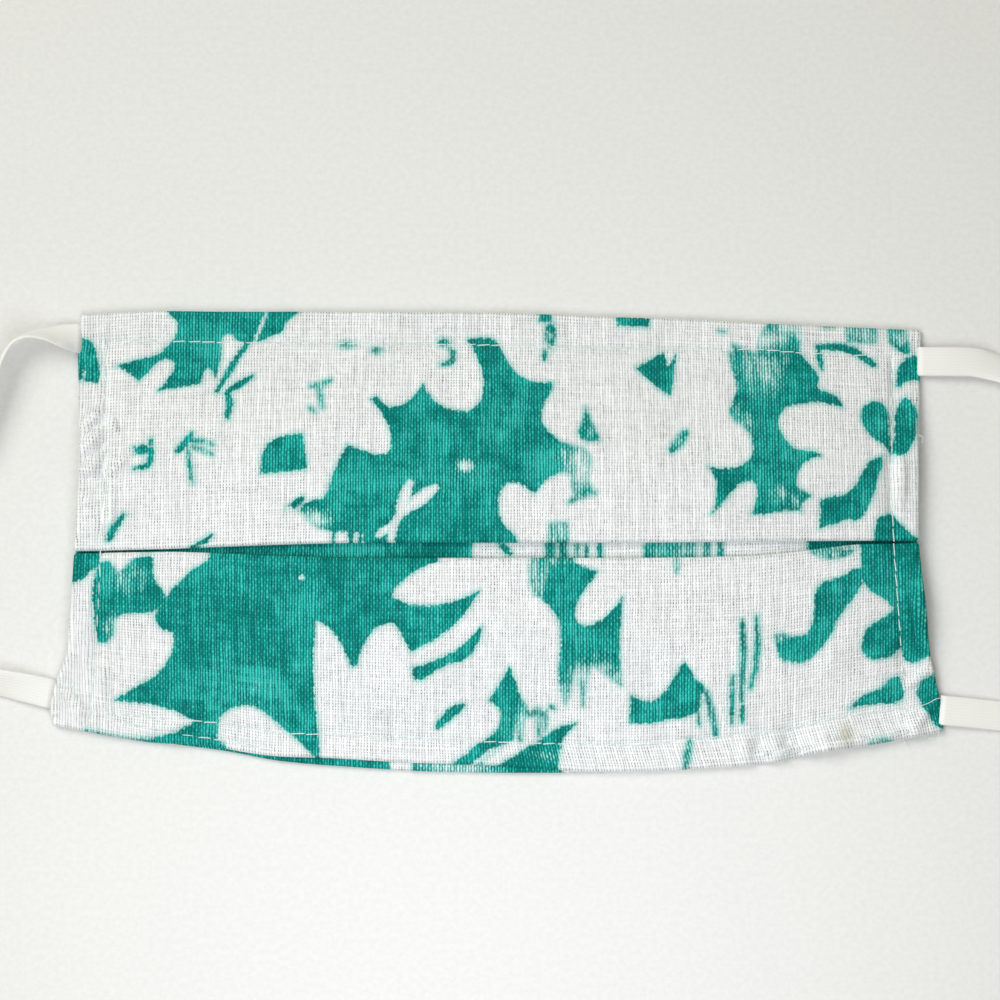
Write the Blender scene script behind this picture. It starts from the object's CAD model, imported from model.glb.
"""A pleated cloth face mask that lies on a pale surface, front side up.

The script is laid out as an add-on. One operator makes each piece or group of like pieces, and
main() calls them in order. Tables and cloth sizes are in millimetres, and a mesh is in metres.
"""

import math

import bmesh
import bpy
import numpy as np
from mathutils import Matrix, Vector


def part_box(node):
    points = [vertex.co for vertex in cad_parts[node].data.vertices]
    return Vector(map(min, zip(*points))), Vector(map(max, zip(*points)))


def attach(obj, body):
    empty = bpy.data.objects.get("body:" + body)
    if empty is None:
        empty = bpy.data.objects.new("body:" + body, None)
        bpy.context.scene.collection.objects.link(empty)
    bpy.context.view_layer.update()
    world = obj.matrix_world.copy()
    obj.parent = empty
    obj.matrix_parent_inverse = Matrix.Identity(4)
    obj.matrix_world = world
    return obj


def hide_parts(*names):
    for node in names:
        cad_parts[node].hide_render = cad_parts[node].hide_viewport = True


bl_info = {
    "name": "Pleated Cloth Face Mask",
    "version": (1, 0, 0),
    "blender": (4, 5, 0),
    "location": "View3D > Sidebar > Face Mask",
    "description": "Makes a pleated cloth face mask with two flat elastic ear loops",
    "category": "Object",
}

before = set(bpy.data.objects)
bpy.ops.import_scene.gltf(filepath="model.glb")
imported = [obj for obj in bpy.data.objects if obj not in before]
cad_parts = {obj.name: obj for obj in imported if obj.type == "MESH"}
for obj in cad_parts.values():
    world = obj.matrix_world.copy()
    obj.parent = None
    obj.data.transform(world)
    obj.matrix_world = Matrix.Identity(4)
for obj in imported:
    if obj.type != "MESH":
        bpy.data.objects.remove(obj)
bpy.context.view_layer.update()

MM = 0.001
BODY = "root"

# ---- The cloth and its folds, in millimetres ----

PLEAT_DEPTH = 12.0  # reach of each pleat fold behind its own panel
HEM_DEPTH = 6.0  # width of the cloth turned under along every edge
LAYER_GAP = 0.2  # air between two layers that lie on each other
HEM_BASE = 0.05  # the hems lie this far above the surface
CROWN_RISE = 3.1  # height of the middle of the cloth above its hems
FOLD_RADIUS = 0.5  # of the cloth's middle line where it rounds an outer edge
FOLD_SWEEP = 100.0  # degrees that the face turns down over its edges
FACE_LEVEL = 2  # layers that lie under the face over the pleat


def named_rows(keys, *rows):
    """The rows of a table, each with a name for every value."""
    return tuple(dict(zip(keys.split(), row)) for row in rows)


# One row for each station across the mask, from its left edge (at 0) to its right (at 1): the
# top and bottom edges, the upper fold of the pleat, how far the pleat stands open, and how far
# the bottom hem shows below the face.
STATIONS = named_rows(
    "at top bottom fold open peek",
    (0.0, 46.3, -37.8, -2.3, 0.4, 0.2),
    (0.1, 47.0, -41.0, -2.0, 0.5, 0.3),
    (0.17, 46.9, -42.6, -1.6, 1.2, 1.1),
    (0.24, 46.9, -44.7, -1.2, 2.1, 1.2),
    (0.32, 46.8, -45.8, -0.9, 2.8, 1.7),
    (0.43, 46.7, -46.8, -0.8, 3.0, 1.7),
    (0.52, 46.5, -47.0, -0.8, 3.0, 1.3),
    (0.6, 46.0, -47.0, -0.8, 3.0, 0.3),
    (0.72, 45.3, -46.2, -0.7, 3.0, 0.0),
    (0.8, 44.6, -45.1, -0.5, 2.8, 0.0),
    (0.87, 44.0, -42.7, -0.4, 1.8, 0.0),
    (0.93, 43.6, -41.1, -0.3, 0.7, 0.0),
    (1.0, 43.1, -38.8, -0.2, 0.4, 0.0),
)

# The side edges, from the bottom corner up to the top one.
LEFT_EDGE = named_rows(
    "at x",
    (-38.0, -89.4), (-33.6, -90.4), (-30.0, -89.7), (-22.4, -86.9), (-2.0, -85.5), (18.0, -84.6),
    (39.0, -85.5), (46.3, -84.9),
)
RIGHT_EDGE = named_rows(
    "at x",
    (-38.8, 90.1), (-32.4, 89.4), (-22.0, 87.3), (-12.6, 86.5), (1.0, 85.3), (20.0, 85.7),
    (43.1, 86.6),
)

# Lines of top-stitching: points along each.
SEAMS = {
    "top": ((-79.5, 41.0), (-60.0, 40.6), (-30.0, 40.2), (0.0, 39.9), (25.0, 39.3),
            (53.0, 39.0), (62.0, 38.3), (72.0, 37.9), (79.8, 37.6)),
    "left": ((-80.0, 40.6), (-79.7, 28.0), (-79.6, 14.0), (-79.9, 1.5)),
    "left_foot": ((-80.1, -3.4), (-80.2, -8.0), (-80.8, -20.0), (-81.8, -30.0), (-82.2, -35.5)),
    "right": ((80.4, 37.0), (80.3, 26.0), (79.9, 12.0), (80.1, 1.0), (80.8, -12.0),
              (81.6, -24.0), (82.6, -35.0)),
    "bottom": ((-81.5, -34.6), (-70.0, -35.8), (-59.4, -36.6), (-52.7, -37.4),
               (-43.1, -38.9), (-19.7, -39.7), (-5.5, -40.5), (12.8, -41.1),
               (28.0, -41.4), (33.0, -40.9), (47.5, -39.4), (56.5, -38.4), (62.3, -37.3), (68.0, -36.0),
               (74.0, -35.0), (81.6, -34.2)),
    "lower_left": ((-75.0, -36.9), (-62.5, -39.3), (-52.3, -40.9), (-46.2, -42.3)),
    "lower_right": ((51.9, -43.1), (57.9, -42.7), (62.8, -41.9), (69.1, -40.5), (83.0, -38.6)),
}

# Ridges and hollows where the seams pull the cloth: the ends, height and half-width of each.
PUCKERS = named_rows(
    "start end rise half",
    ((-84.6, 22.6), (-79.9, 26.6), 1.47, 0.98), ((-84.3, 20.4), (-80.6, 24.0), -0.6, 0.84),
    ((-84.5, 17.8), (-80.2, 21.9), 1.47, 1.26), ((-84.4, 15.4), (-80.4, 18.9), -0.6, 0.84),
    ((-84.6, 13.2), (-80.3, 16.2), 1.19, 1.12), ((-84.6, 9.0), (-81.2, 6.6), 0.63, 1.12),
    ((-78.2, 13.6), (-74.2, 17.8), 0.85, 0.9), ((-78.8, 25.0), (-76.4, 20.6), 0.68, 0.6),
    ((-77.9, 13.0), (-78.1, 0.5), 0.94, 0.7), ((-79.5, 33.0), (-79.4, 2.0), -0.38, 0.8),
    ((-82.6, 38.0), (-82.6, 30.0), 0.37, 1.0), ((-84.0, -12.0), (-82.0, -30.0), 0.59, 1.1),
    ((-79.0, -24.0), (-79.8, -33.0), 0.77, 0.9), ((-87.4, -30.5), (-83.4, -34.8), 0.94, 1.0),
    ((-76.0, -19.0), (-67.0, -20.5), -0.5, 2.2), ((79.0, 16.6), (79.2, 5.4), -0.81, 0.9),
    ((81.9, 16.8), (81.8, 8.0), 1.02, 0.8), ((83.8, 32.0), (84.2, 18.0), 0.42, 1.0),
    ((84.8, -9.0), (85.6, -21.0), 0.68, 0.9), ((83.2, -12.0), (84.4, -19.0), -0.5, 0.6),
    ((82.6, -29.4), (88.0, -25.8), 1.02, 0.8), ((84.6, -36.8), (89.2, -31.8), 0.85, 0.8),
    ((61.0, -25.0), (70.0, -17.0), -0.56, 2.4), ((52.4, -43.4), (62.5, -42.3), 1.41, 0.78),
    ((62.5, -42.3), (73.0, -40.2), 1.78, 0.78), ((73.0, -40.2), (84.0, -38.6), 1.27, 0.78),
    ((-72.0, -37.6), (-56.0, -39.2), 0.68, 0.7), ((-30.0, -41.8), (4.0, -42.6), 0.51, 0.9),
)

# ---- The printed flowers, charted in millimetres of the face: what is inked and what is left bare,
# in the order in which each covers the one before ----


def area(tone, *points):
    return {"form": "area", "tone": tone, "points": points}


def stroke(tone, half, *points):
    """A brush stroke along points, half as wide on each side at its middle."""
    return {"form": "stroke", "tone": tone, "half": half, "points": points}


def spot(tone, x, y, half, height=None):
    return {"form": "spot", "tone": tone, "centre": (x, y), "half": half, "height": height or half}


def cloud(x, y, width, height, amount):
    """A soft-edged patch in which the ink is thinned or the brush runs dry."""
    return {"centre": (x, y), "width": width, "height": height, "amount": amount}


UPPER_PRINT = (
    # the patch on the left hem and the leaves at the top left
    area("ink", (-88, 41), (-83.3, 41), (-82, 39), (-81.1, 35), (-81.4, 32), (-84.5, 32.5), (-88, 33)),
    stroke("bare", 0.3, (-84.1, 34.6), (-84.1, 32.2)),
    area("ink", (-67.6, 49), (-67.2, 46.8), (-65.2, 44.5), (-65.5, 42), (-66.5, 40.3), (-68.5, 38.3),
         (-72.5, 36.9), (-77.4, 35.6), (-75, 34.2), (-72.8, 32.3), (-71.5, 33.5), (-69.6, 35.8),
         (-67.5, 37), (-65.4, 36), (-66.2, 33.8), (-67.5, 31.8), (-69, 30.2), (-66, 30.8),
         (-63, 31.3), (-60.2, 32), (-59.5, 34.5), (-58.5, 35), (-57.2, 33), (-56.2, 37.5),
         (-55.8, 41.8), (-54.6, 42.2), (-52.2, 40.5), (-50.2, 40.4), (-47.8, 41), (-46, 42),
         (-44, 42.5), (-42.8, 45), (-40.5, 46.6), (-40, 49)),
    stroke("bare", 0.45, (-49.6, 40.6), (-48.2, 43.6), (-46.8, 47)),
    stroke("ink", 0.6, (-50.8, 40.2), (-53, 37), (-54.7, 34), (-56.8, 30.2)),
    stroke("ink", 0.65, (-49.8, 33.2), (-52.4, 31.6), (-55, 29.9)),
    stroke("ink", 0.7, (-54.9, 30), (-54.2, 28), (-54.6, 24.7)),
    # small brush marks on the pale flowers
    spot("ink", -71.7, 18.1, 1.7, 1.0),
    stroke("ink", 0.5, (-70, 20.2), (-69.8, 17), (-70.5, 14.8), (-73.3, 14.3)),
    stroke("ink", 0.7, (-61.8, 21.3), (-63, 19.6), (-64.6, 17.8)),
    stroke("ink", 0.4, (-62.8, 19.8), (-62.2, 16), (-61.4, 11.2)),
    stroke("ink", 0.5, (-62.4, 19.8), (-60.4, 20), (-57.5, 19.2)),
    stroke("ink", 0.4, (-61.6, 18.6), (-59.4, 18), (-57.6, 17.2)),
    stroke("ink", 0.5, (-37.7, 31.2), (-35.6, 31.4), (-33.8, 32.5)),
    stroke("ink", 0.45, (-36.2, 31), (-35.8, 29), (-35.4, 26.8)),
    stroke("ink", 0.35, (-37.9, 26.7), (-37, 25.8)),
    spot("ink", -30.6, 39.9, 1.3, 0.7),
    spot("ink", -24.6, 38.6, 0.9, 0.6),
    stroke("ink", 0.55, (-9.8, 39.1), (-8.9, 38.1), (-9.1, 36.3), (-11.3, 35.7)),
    spot("ink", -10.8, 40.4, 1.2, 0.9),
    stroke("ink", 0.7, (-75.3, 5), (-77, 2.6), (-78.4, 0)),
    stroke("ink", 0.55, (-57.5, 0.6), (-59, -0.6), (-61.4, -1.8)),
    stroke("ink", 0.8, (-39.2, 8.2), (-41.6, 6.1), (-40.7, 3.4), (-39.1, -1)),
    area("ink", (-46.3, 19.3), (-39.2, 21.4), (-38.3, 14), (-47.6, 13.2)),
    # the deep ground between the two great flowers
    area("ink", (-39.7, 5.8), (-37.5, 7.7), (-35, 8.3), (-33.6, 11.5), (-31.8, 16), (-30.2, 19.1),
         (-27, 17.8), (-24, 16.9), (-22, 17.3), (-21.4, 19), (-21.5, 21.5), (-22.4, 24),
         (-24, 26.5), (-25.6, 28.5), (-24.5, 29.2), (-23, 27.5), (-21.5, 26.8), (-20, 27),
         (-18, 28), (-16.3, 29.8), (-15.1, 31.6), (-14.2, 30), (-12.5, 28), (-10.5, 26.7),
         (-8, 26.1), (-6, 25.9), (-4.5, 26.7), (-3.3, 28.5), (-2.7, 31), (-3, 34),
         (-3.7, 36.5), (-4.8, 38.8), (-6, 41.1), (-0.6, 41), (1.5, 37.2), (4.3, 33.5),
         (6, 32.5), (8, 32), (11.4, 32), (11.2, 30.7), (9.3, 27), (8.9, 25), (9.2, 23.2),
         (10.3, 21.8), (13, 19.6), (18.5, 17), (18.2, 12), (19.7, 9.2), (16, 8.8),
         (15.2, 10.5), (15, 12.6), (13.7, 13.4), (12, 13), (10.2, 12), (9, 11), (7.4, 9),
         (5, 10.9), (3.5, 11.4), (2, 11.2), (0.9, 10), (0.3, 7.5), (0.4, 5), (1.2, 3),
         (3.8, 0.2), (4, -5), (-42, -5), (-40, 1)),
    area("bare", (-43, 7), (-39.6, 5.4), (-37, 3), (-34.5, 1.7), (-31, 1.4), (-26.8, 1.4),
         (-26.4, -6), (-43, -6)),
    stroke("ink", 0.35, (-32.8, 2.6), (-32.9, -2)),
    stroke("ink", 0.5, (-29.3, 2.6), (-29.4, -2)),
    stroke("ink", 0.35, (-27.4, 2.4), (-27.5, -2)),
    stroke("bare", 1.0, (-21.4, -2), (-21, 2.4), (-19.6, 4.8)),
    stroke("bare", 1.3, (-19.6, 4.4), (-18.8, 7.4), (-17.6, 11.2)),
    stroke("bare", 1.4, (-18.8, 5.6), (-15.2, 8.2), (-12.6, 10.2)),
    stroke("bare", 0.9, (-24, 0.6), (-21.6, 2.4)),
    # blocks and leaves along the top
    area("ink", (8.6, 48), (8.6, 44.8), (11, 44.6), (11, 48)),
    spot("ink", 10.9, 42, 1.1, 2.4),
    stroke("bare", 0.3, (10.4, 42.4), (11.6, 41)),
    stroke("ink", 0.5, (9.7, 38.5), (9.6, 36.8)),
    area("ink", (24.3, 45.4), (24.6, 43.9), (31, 43.6), (31, 45.2)),
    area("ink", (17.9, 26.8), (19, 24), (20.8, 20), (18.5, 19.7), (16.5, 21), (17.3, 24)),
    area("ink", (28.2, 35.2), (31, 36.6), (33.8, 38.4), (34.8, 35.2), (36.5, 37.8), (36, 34.5),
         (35.6, 31.5), (35, 29.2), (33.5, 30.2), (31, 32.2)),
    stroke("ink", 1.0, (38, 21.5), (36.8, 19.6), (35.3, 18)),
    stroke("ink", 0.3, (45.2, 42.8), (46.4, 42.6)),
    stroke("ink", 0.5, (14.6, 7.3), (16, 8.3), (19.7, 9.2)),
    area("ink", (10.5, 3), (14, 3.2), (14.6, -4), (10.2, -4)),
    # the brushed flower right of the middle
    area("ink", (48, 40), (48.3, 35.5), (49, 33), (48.3, 29), (47.3, 25.5), (48.2, 24),
         (49.8, 23), (51, 21.5), (51.7, 19), (51.5, 17), (50, 15.2), (48, 14.4), (45, 14.2),
         (42.6, 14.5), (43.8, 12.8), (44.3, 10), (44, 7), (43, 5), (44.5, 6.2), (46.5, 8.5),
         (48.5, 10.8), (50.5, 11.7), (52, 11.3), (52.5, 9.5), (52.2, 7.5), (51.2, 5),
         (53.5, 5), (56, 5.4), (59.5, 5.8), (61.4, 5.5), (61.3, 7), (63.5, 8.8), (60.7, 10.5),
         (60.5, 12.5), (61.2, 14.5), (62.5, 15.8), (65.5, 16.8), (64, 17.8), (61, 18),
         (59, 19.2), (57.8, 21), (56.9, 23.5), (57.5, 25.5), (59, 27), (61.5, 27.6),
         (64.5, 28), (67, 27.7), (70.2, 26.8), (69, 29), (67, 30), (65.3, 31), (65.2, 33.5),
         (62, 38), (61.6, 44.6), (55.6, 44.4), (53, 38)),
    stroke("ink", 0.75, (65.2, 39.5), (70.5, 39.6), (73, 38.5), (75.2, 36.8), (76.8, 35.8)),
    stroke("ink", 0.6, (65.5, 39.2), (66, 35)),
    area("ink", (71, 43.6), (71.4, 40.6), (77, 40.2), (77.4, 43.4)),
    area("ink", (79.9, 43.8), (82.6, 43.8), (83.7, 40.6), (84.5, 38.4), (83, 38.2), (81, 39.4), (79.9, 41)),
    stroke("ink", 0.45, (47.4, 37.9), (48.2, 35.4), (49.2, 32), (48.8, 27.3), (49.9, 24.6)),
    stroke("ink", 0.35, (66.5, 43.7), (68.5, 43.7)),
    # buds and the curved leaf by the right hem
    area("ink", (81.2, 31.5), (81.5, 34.2), (82.6, 36.4), (84.7, 37.8), (88, 37), (88, 32.8),
         (85.4, 32.6), (83.4, 32.4), (82.2, 31.4)),
    area("ink", (73.8, 24.5), (74.6, 27.2), (76.8, 28.1), (78.7, 27), (79.3, 24.5), (79.4, 20),
         (80, 16.2), (78.6, 18.8), (76, 20.8)),
    area("ink", (83.1, 29.3), (84.8, 27), (85, 23.5), (83.3, 18), (81.5, 17), (80.2, 18.2),
         (80.8, 21), (81, 25), (81.8, 27.8)),
    area("ink", (77.8, 17), (77.7, 15), (76.9, 12.5), (75.9, 9), (74.8, 6.5), (73.5, 4.5),
         (71.9, 3.8), (70.2, 4), (68.5, 3.2), (65, 2.2), (65.2, 8), (67.5, 8.6), (70, 9),
         (72, 10.5), (73.3, 12.5), (74.5, 14.5), (75.5, 16)),
    area("ink", (76.6, 3.8), (78, 4.8), (79.6, 5.1), (81, 3.8), (82.7, 2), (84.7, 0),
         (86, -5), (76.6, -5)),
)

LOWER_PRINT = (
    # the patch on the left hem and its brushed neighbour
    area("ink", (-90, -2.8), (-80.5, -2), (-80.5, -5.5), (-82, -6.3), (-83.5, -7.8), (-84.8, -8.4),
         (-90, -10)),
    area("ink", (-80.5, -5.4), (-78.6, -4.4), (-77.3, -5.4), (-76.5, -7.2), (-75.4, -6.2),
         (-73.4, -4.2), (-71.2, -3), (-69.2, -3), (-69, -7.9), (-67.2, -10.4), (-66.2, -12.4),
         (-67.7, -13.8), (-69.6, -14.8), (-73, -14.9), (-76.6, -15.9), (-77.4, -19.4),
         (-79.2, -20.8), (-80.5, -20.4)),
    # the deep ground of the lower left
    area("ink", (-66.2, -11.3), (-65, -9.8), (-63, -8), (-61, -6), (-58.5, -4.5), (-57, 5), (-8, 5),
         (-11.7, -3.6), (-12.5, -4.4), (-15, -5.8), (-17.5, -7.3), (-19.5, -9), (-20.6, -10.3),
         (-21, -11.8), (-18, -13.1), (-15, -13.5), (-12, -13.4), (-9, -12.7), (-6, -11.6),
         (-3.6, -10.6), (-5, -13), (-7.3, -16), (-9.5, -18), (-12, -19.8), (-15, -21.5),
         (-17.3, -22.6), (-18.9, -19.8), (-19.8, -18), (-21, -17), (-22.5, -17.1), (-24.5, -18),
         (-26, -20), (-27.3, -22.5), (-28.2, -25), (-29.1, -25.9), (-30.6, -22.5), (-32, -19.8),
         (-34, -17.5), (-36.3, -16.2), (-36.9, -23), (-36.8, -30), (-36, -40), (-35.4, -50),
         (-82, -50), (-81, -38.8), (-75, -39.8), (-69.5, -39.8), (-64.5, -38.7), (-62, -37.6), (-61, -36.2),
         (-63.5, -35), (-67, -33.7), (-70, -33), (-74, -32.6), (-77.1, -32.2), (-72, -29.2),
         (-69, -27.5), (-67, -25.5), (-65.5, -23), (-65, -20.5), (-65, -18.7), (-66.8, -18.2),
         (-68.2, -17), (-68.7, -15.2), (-67.7, -13.5)),
    area("bare", (-56.3, -38), (-56, -36), (-54.5, -34.5), (-52, -33.5), (-49.5, -33.4),
         (-47, -34.6), (-42.5, -38.3), (-39.5, -41), (-36.8, -43.5), (-38, -44.9), (-50, -43.8),
         (-53.5, -42.7), (-55, -41.2), (-56.3, -40)),
    spot("bare", -39.2, -7.8, 0.6),
    # stems and the small bud below the first flower
    area("ink", (-17, -25.7), (-14, -25), (-11.5, -24), (-8.5, -22.5), (-6, -20.6), (-4.2, -18.8),
         (-3, -17.5), (-3.5, -20), (-4.7, -22.4), (-6.3, -24), (-11, -25.5), (-13.5, -27.2),
         (-15.5, -28.3), (-16.7, -27.8)),
    stroke("ink", 1.0, (-7, -33.4), (-9.5, -35), (-11.8, -37.4)),
    area("ink", (2.5, -25.5), (1.2, -27.8), (-1.6, -32.5), (0.5, -34), (0.8, -35.5), (0.3, -37.5),
         (-2.2, -40.2), (-4.5, -41.8), (-9.5, -45.6), (-12, -50), (-6, -50), (-2, -43.4),
         (3.2, -40), (3.8, -37.4), (6.8, -35.2), (5.5, -33), (4.2, -30.5), (3.5, -28)),
    stroke("ink", 0.45, (4.6, -33), (4.7, -40.4)),
    stroke("ink", 0.35, (8.4, -34), (8.5, -39.6)),
    stroke("ink", 0.3, (9.8, -34.6), (9.8, -38.4)),
    stroke("ink", 0.6, (6.5, -35), (8, -34.6), (9.6, -35.2)),
    stroke("ink", 0.35, (10.8, -33.4), (11.4, -34)),
    area("ink", (16, -36.8), (13, -37.5), (10, -39.3), (5.5, -42.2), (2.5, -44), (0, -45.3),
         (-6, -46), (-8, -50), (12.5, -50), (12.4, -44), (12.9, -41.5), (13.3, -40),
         (14.8, -38.3)),
    stroke("bare", 0.6, (-5, -45.4), (-1.6, -43), (2.6, -41.6), (7.6, -41)),
    # brush marks below the pleat
    area("ink", (7, -3), (10, -3), (9.6, -12), (7.4, -11)),
    area("ink", (9.4, -2.6), (14.6, -2.8), (16.2, -5), (20.2, -6.6), (19.3, -8), (18, -9.8),
         (16.7, -11.5), (15.8, -13.5), (15.6, -15.5), (16.3, -17), (17.7, -17.5), (19.5, -17.1),
         (21.5, -16), (23.5, -14), (25.2, -11.8), (24.7, -18), (24.5, -22), (25, -29.3),
         (23, -28), (20.5, -26), (19, -25.2), (18.2, -27), (17.3, -33.5), (16.3, -27),
         (15.7, -24.5), (14.8, -30), (13.7, -33), (12.5, -28), (12.8, -19), (12.2, -16),
         (10.5, -13.5), (9, -12), (9.5, -9), (10.2, -6.5)),
    # the hill of petals and its drips
    area("ink", (27, -31.2), (29, -32.2), (31.5, -32.4), (33.5, -30.8), (35, -29), (36.3, -26.5),
         (37.6, -24.7), (38.8, -26.3), (40, -28.2), (41.6, -29.7), (41, -31.5), (40.8, -34),
         (38.5, -35.5), (34, -36.2), (31, -36.8), (26.6, -36.8)),
    stroke("ink", 0.6, (42, -30.5), (43, -34), (43.8, -37.5), (44, -39.4)),
    stroke("ink", 0.35, (40.5, -35), (40.6, -37.2)),
    stroke("ink", 0.6, (38.8, -40.4), (38.4, -43), (37.9, -46.2)),
    stroke("ink", 0.6, (49.3, -16.6), (49.5, -23), (49.2, -32.6)),
    stroke("ink", 0.55, (52.2, -15.6), (52.3, -22), (51.9, -26), (51, -29.8)),
    stroke("ink", 0.45, (47.4, -27.5), (47.2, -37)),
    stroke("ink", 0.5, (49.4, -33.2), (49.3, -36.6)),
    stroke("ink", 0.35, (36, -3.6), (36.1, -6.6)),
    # the cupped leaf
    area("ink", (55.8, -19.3), (56.3, -21.5), (57.2, -24), (59.5, -24.6), (62, -24.6), (64, -23),
         (66, -21), (67.5, -18.5), (68.5, -16), (70, -14), (71.5, -12), (73.2, -9.5), (74, -6),
         (72, -6), (69.5, -7.5), (67, -8.3), (64.8, -9.3), (64, -11), (63.8, -14), (63.3, -17),
         (62.3, -19), (59.5, -19.6), (56.5, -19)),
    area("ink", (63, -1.5), (64.5, -3.3), (67, -3.9), (69.5, -3.6), (71.5, -2.7), (73, -1.2)),
    # the block on the right hem
    area("ink", (73.2, 2), (73.5, -6), (73.7, -8.5), (75.5, -10.5), (78, -12), (79.8, -13.8),
         (79, -15), (77, -16.2), (75, -17.5), (74, -19), (73.4, -21.5), (74, -23.3), (75.5, -24),
         (78, -23.8), (80.2, -23), (80.6, -21.5), (81.5, -22), (82.3, -24), (84, -24.7),
         (85.8, -24), (90, -21), (88, 2)),
    area("ink", (70.7, -34), (72.5, -32.3), (74.5, -31), (77, -30), (79, -28.2), (80.5, -27.6),
         (81.3, -28.3), (81.7, -32), (80, -32.8), (77, -32.9), (74, -33.3)),
    area("ink", (84.7, -30), (85.5, -28.2), (87.5, -27.2), (92, -26.6), (92, -39), (88, -37),
         (86.5, -34.5), (85, -32)),
    stroke("ink", 0.4, (75.2, -41.1), (77.4, -40.5), (79.3, -40.3)),
    area("ink", (-83, -38.2), (-80.2, -38.6), (-76.9, -39.4), (-72.9, -40), (-69, -40), (-64.9, -38.7),
         (-62, -37.4), (-58, -44), (-62, -50), (-83, -50)),
)

# The strip of cloth that shows in the open pleat, and the outside of the bottom hem.
STRIP_PRINT = (
    area("ink", (-90, 6), (-5.2, 6), (-5, -12), (-90, -12)),
    area("ink", (0.2, -0.6), (1.2, -0.8), (3.2, -3), (2, -3.2)),
    area("ink", (9.8, 6), (11.7, 6), (11.7, -12), (9.8, -12)),
    area("ink", (12.5, 6), (14.3, 6), (14.3, -12), (12.5, -12)),
    stroke("ink", 0.45, (16.1, 4), (16.1, -10)),
    stroke("ink", 0.35, (18, 4), (18, -10)),
    stroke("ink", 0.5, (20.7, 4), (20.7, -10)),
    area("ink", (29.7, 6), (37.5, 6), (37.5, -12), (29.7, -12)),
    area("ink", (37.8, 6), (40, 6), (40, -12), (37.8, -12)),
    area("ink", (41.5, 6), (43, 6), (43, -12), (41.5, -12)),
    area("ink", (44.5, 6), (45.6, 6), (45.6, -12), (44.5, -12)),
    area("ink", (62.7, 6), (90, 6), (90, -12), (62.7, -12)),
)
HEM_PRINT = (
    area("ink", (-80, -30), (-21.7, -30), (-21.7, -52), (-80, -52)),
    area("ink", (-17, -30), (13, -30), (13, -52), (-17, -52)),
    area("ink", (71, -30), (95, -30), (95, -44), (71, -44)),
)
PRINTS = {"upper": UPPER_PRINT, "lower": LOWER_PRINT, "strip": STRIP_PRINT, "hem": HEM_PRINT}

# Where the ink is a little thinner, and the tops of the threads took less of it.
WASHES = {
    "upper": (cloud(-5, 12.5, 7, 4, 0.7), cloud(11, 16, 4.5, 4, 0.6), cloud(-17, 13.5, 5, 2.4, 0.5),
              cloud(-31, 9, 4, 5, 0.4), cloud(-57.5, 40, 4, 5, 0.3), cloud(57, 12, 6, 5, 0.5),
              cloud(50, 22, 5, 5, 0.6), cloud(-60, 34, 5, 3, 0.3), cloud(82, 41, 3, 2.4, 0.45),
              cloud(2, 22, 5, 8, 0.35), cloud(78, 24, 3, 4, 0.3), cloud(-14, 22, 3, 2, 0.3)),
    "lower": (cloud(22, -23, 3, 5, 0.6), cloud(18, -20, 5, 4, 0.4), cloud(68, -13, 4, 5, 0.6),
              cloud(60, -24, 5, 1.6, 0.6), cloud(86, -13, 1.6, 8, 0.5), cloud(-62, -42, 9, 1.6, 0.5),
              cloud(33, -34, 6, 2, 0.4), cloud(-26, -8, 7, 4, 0.35), cloud(-45, -12, 9, 3, 0.25),
              cloud(-50, -30, 10, 7, 0.7), cloud(2, -38, 4, 4, 0.4), cloud(79, -30, 4, 2, 0.35)),
    "strip": (cloud(-30, -2, 12, 3, 0.5), cloud(38, -2.5, 9, 6, 0.4)),
    "hem": (cloud(-62, -42, 9, 4, 0.4), cloud(-6, -46, 9, 3, 0.5)),
}

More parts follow.
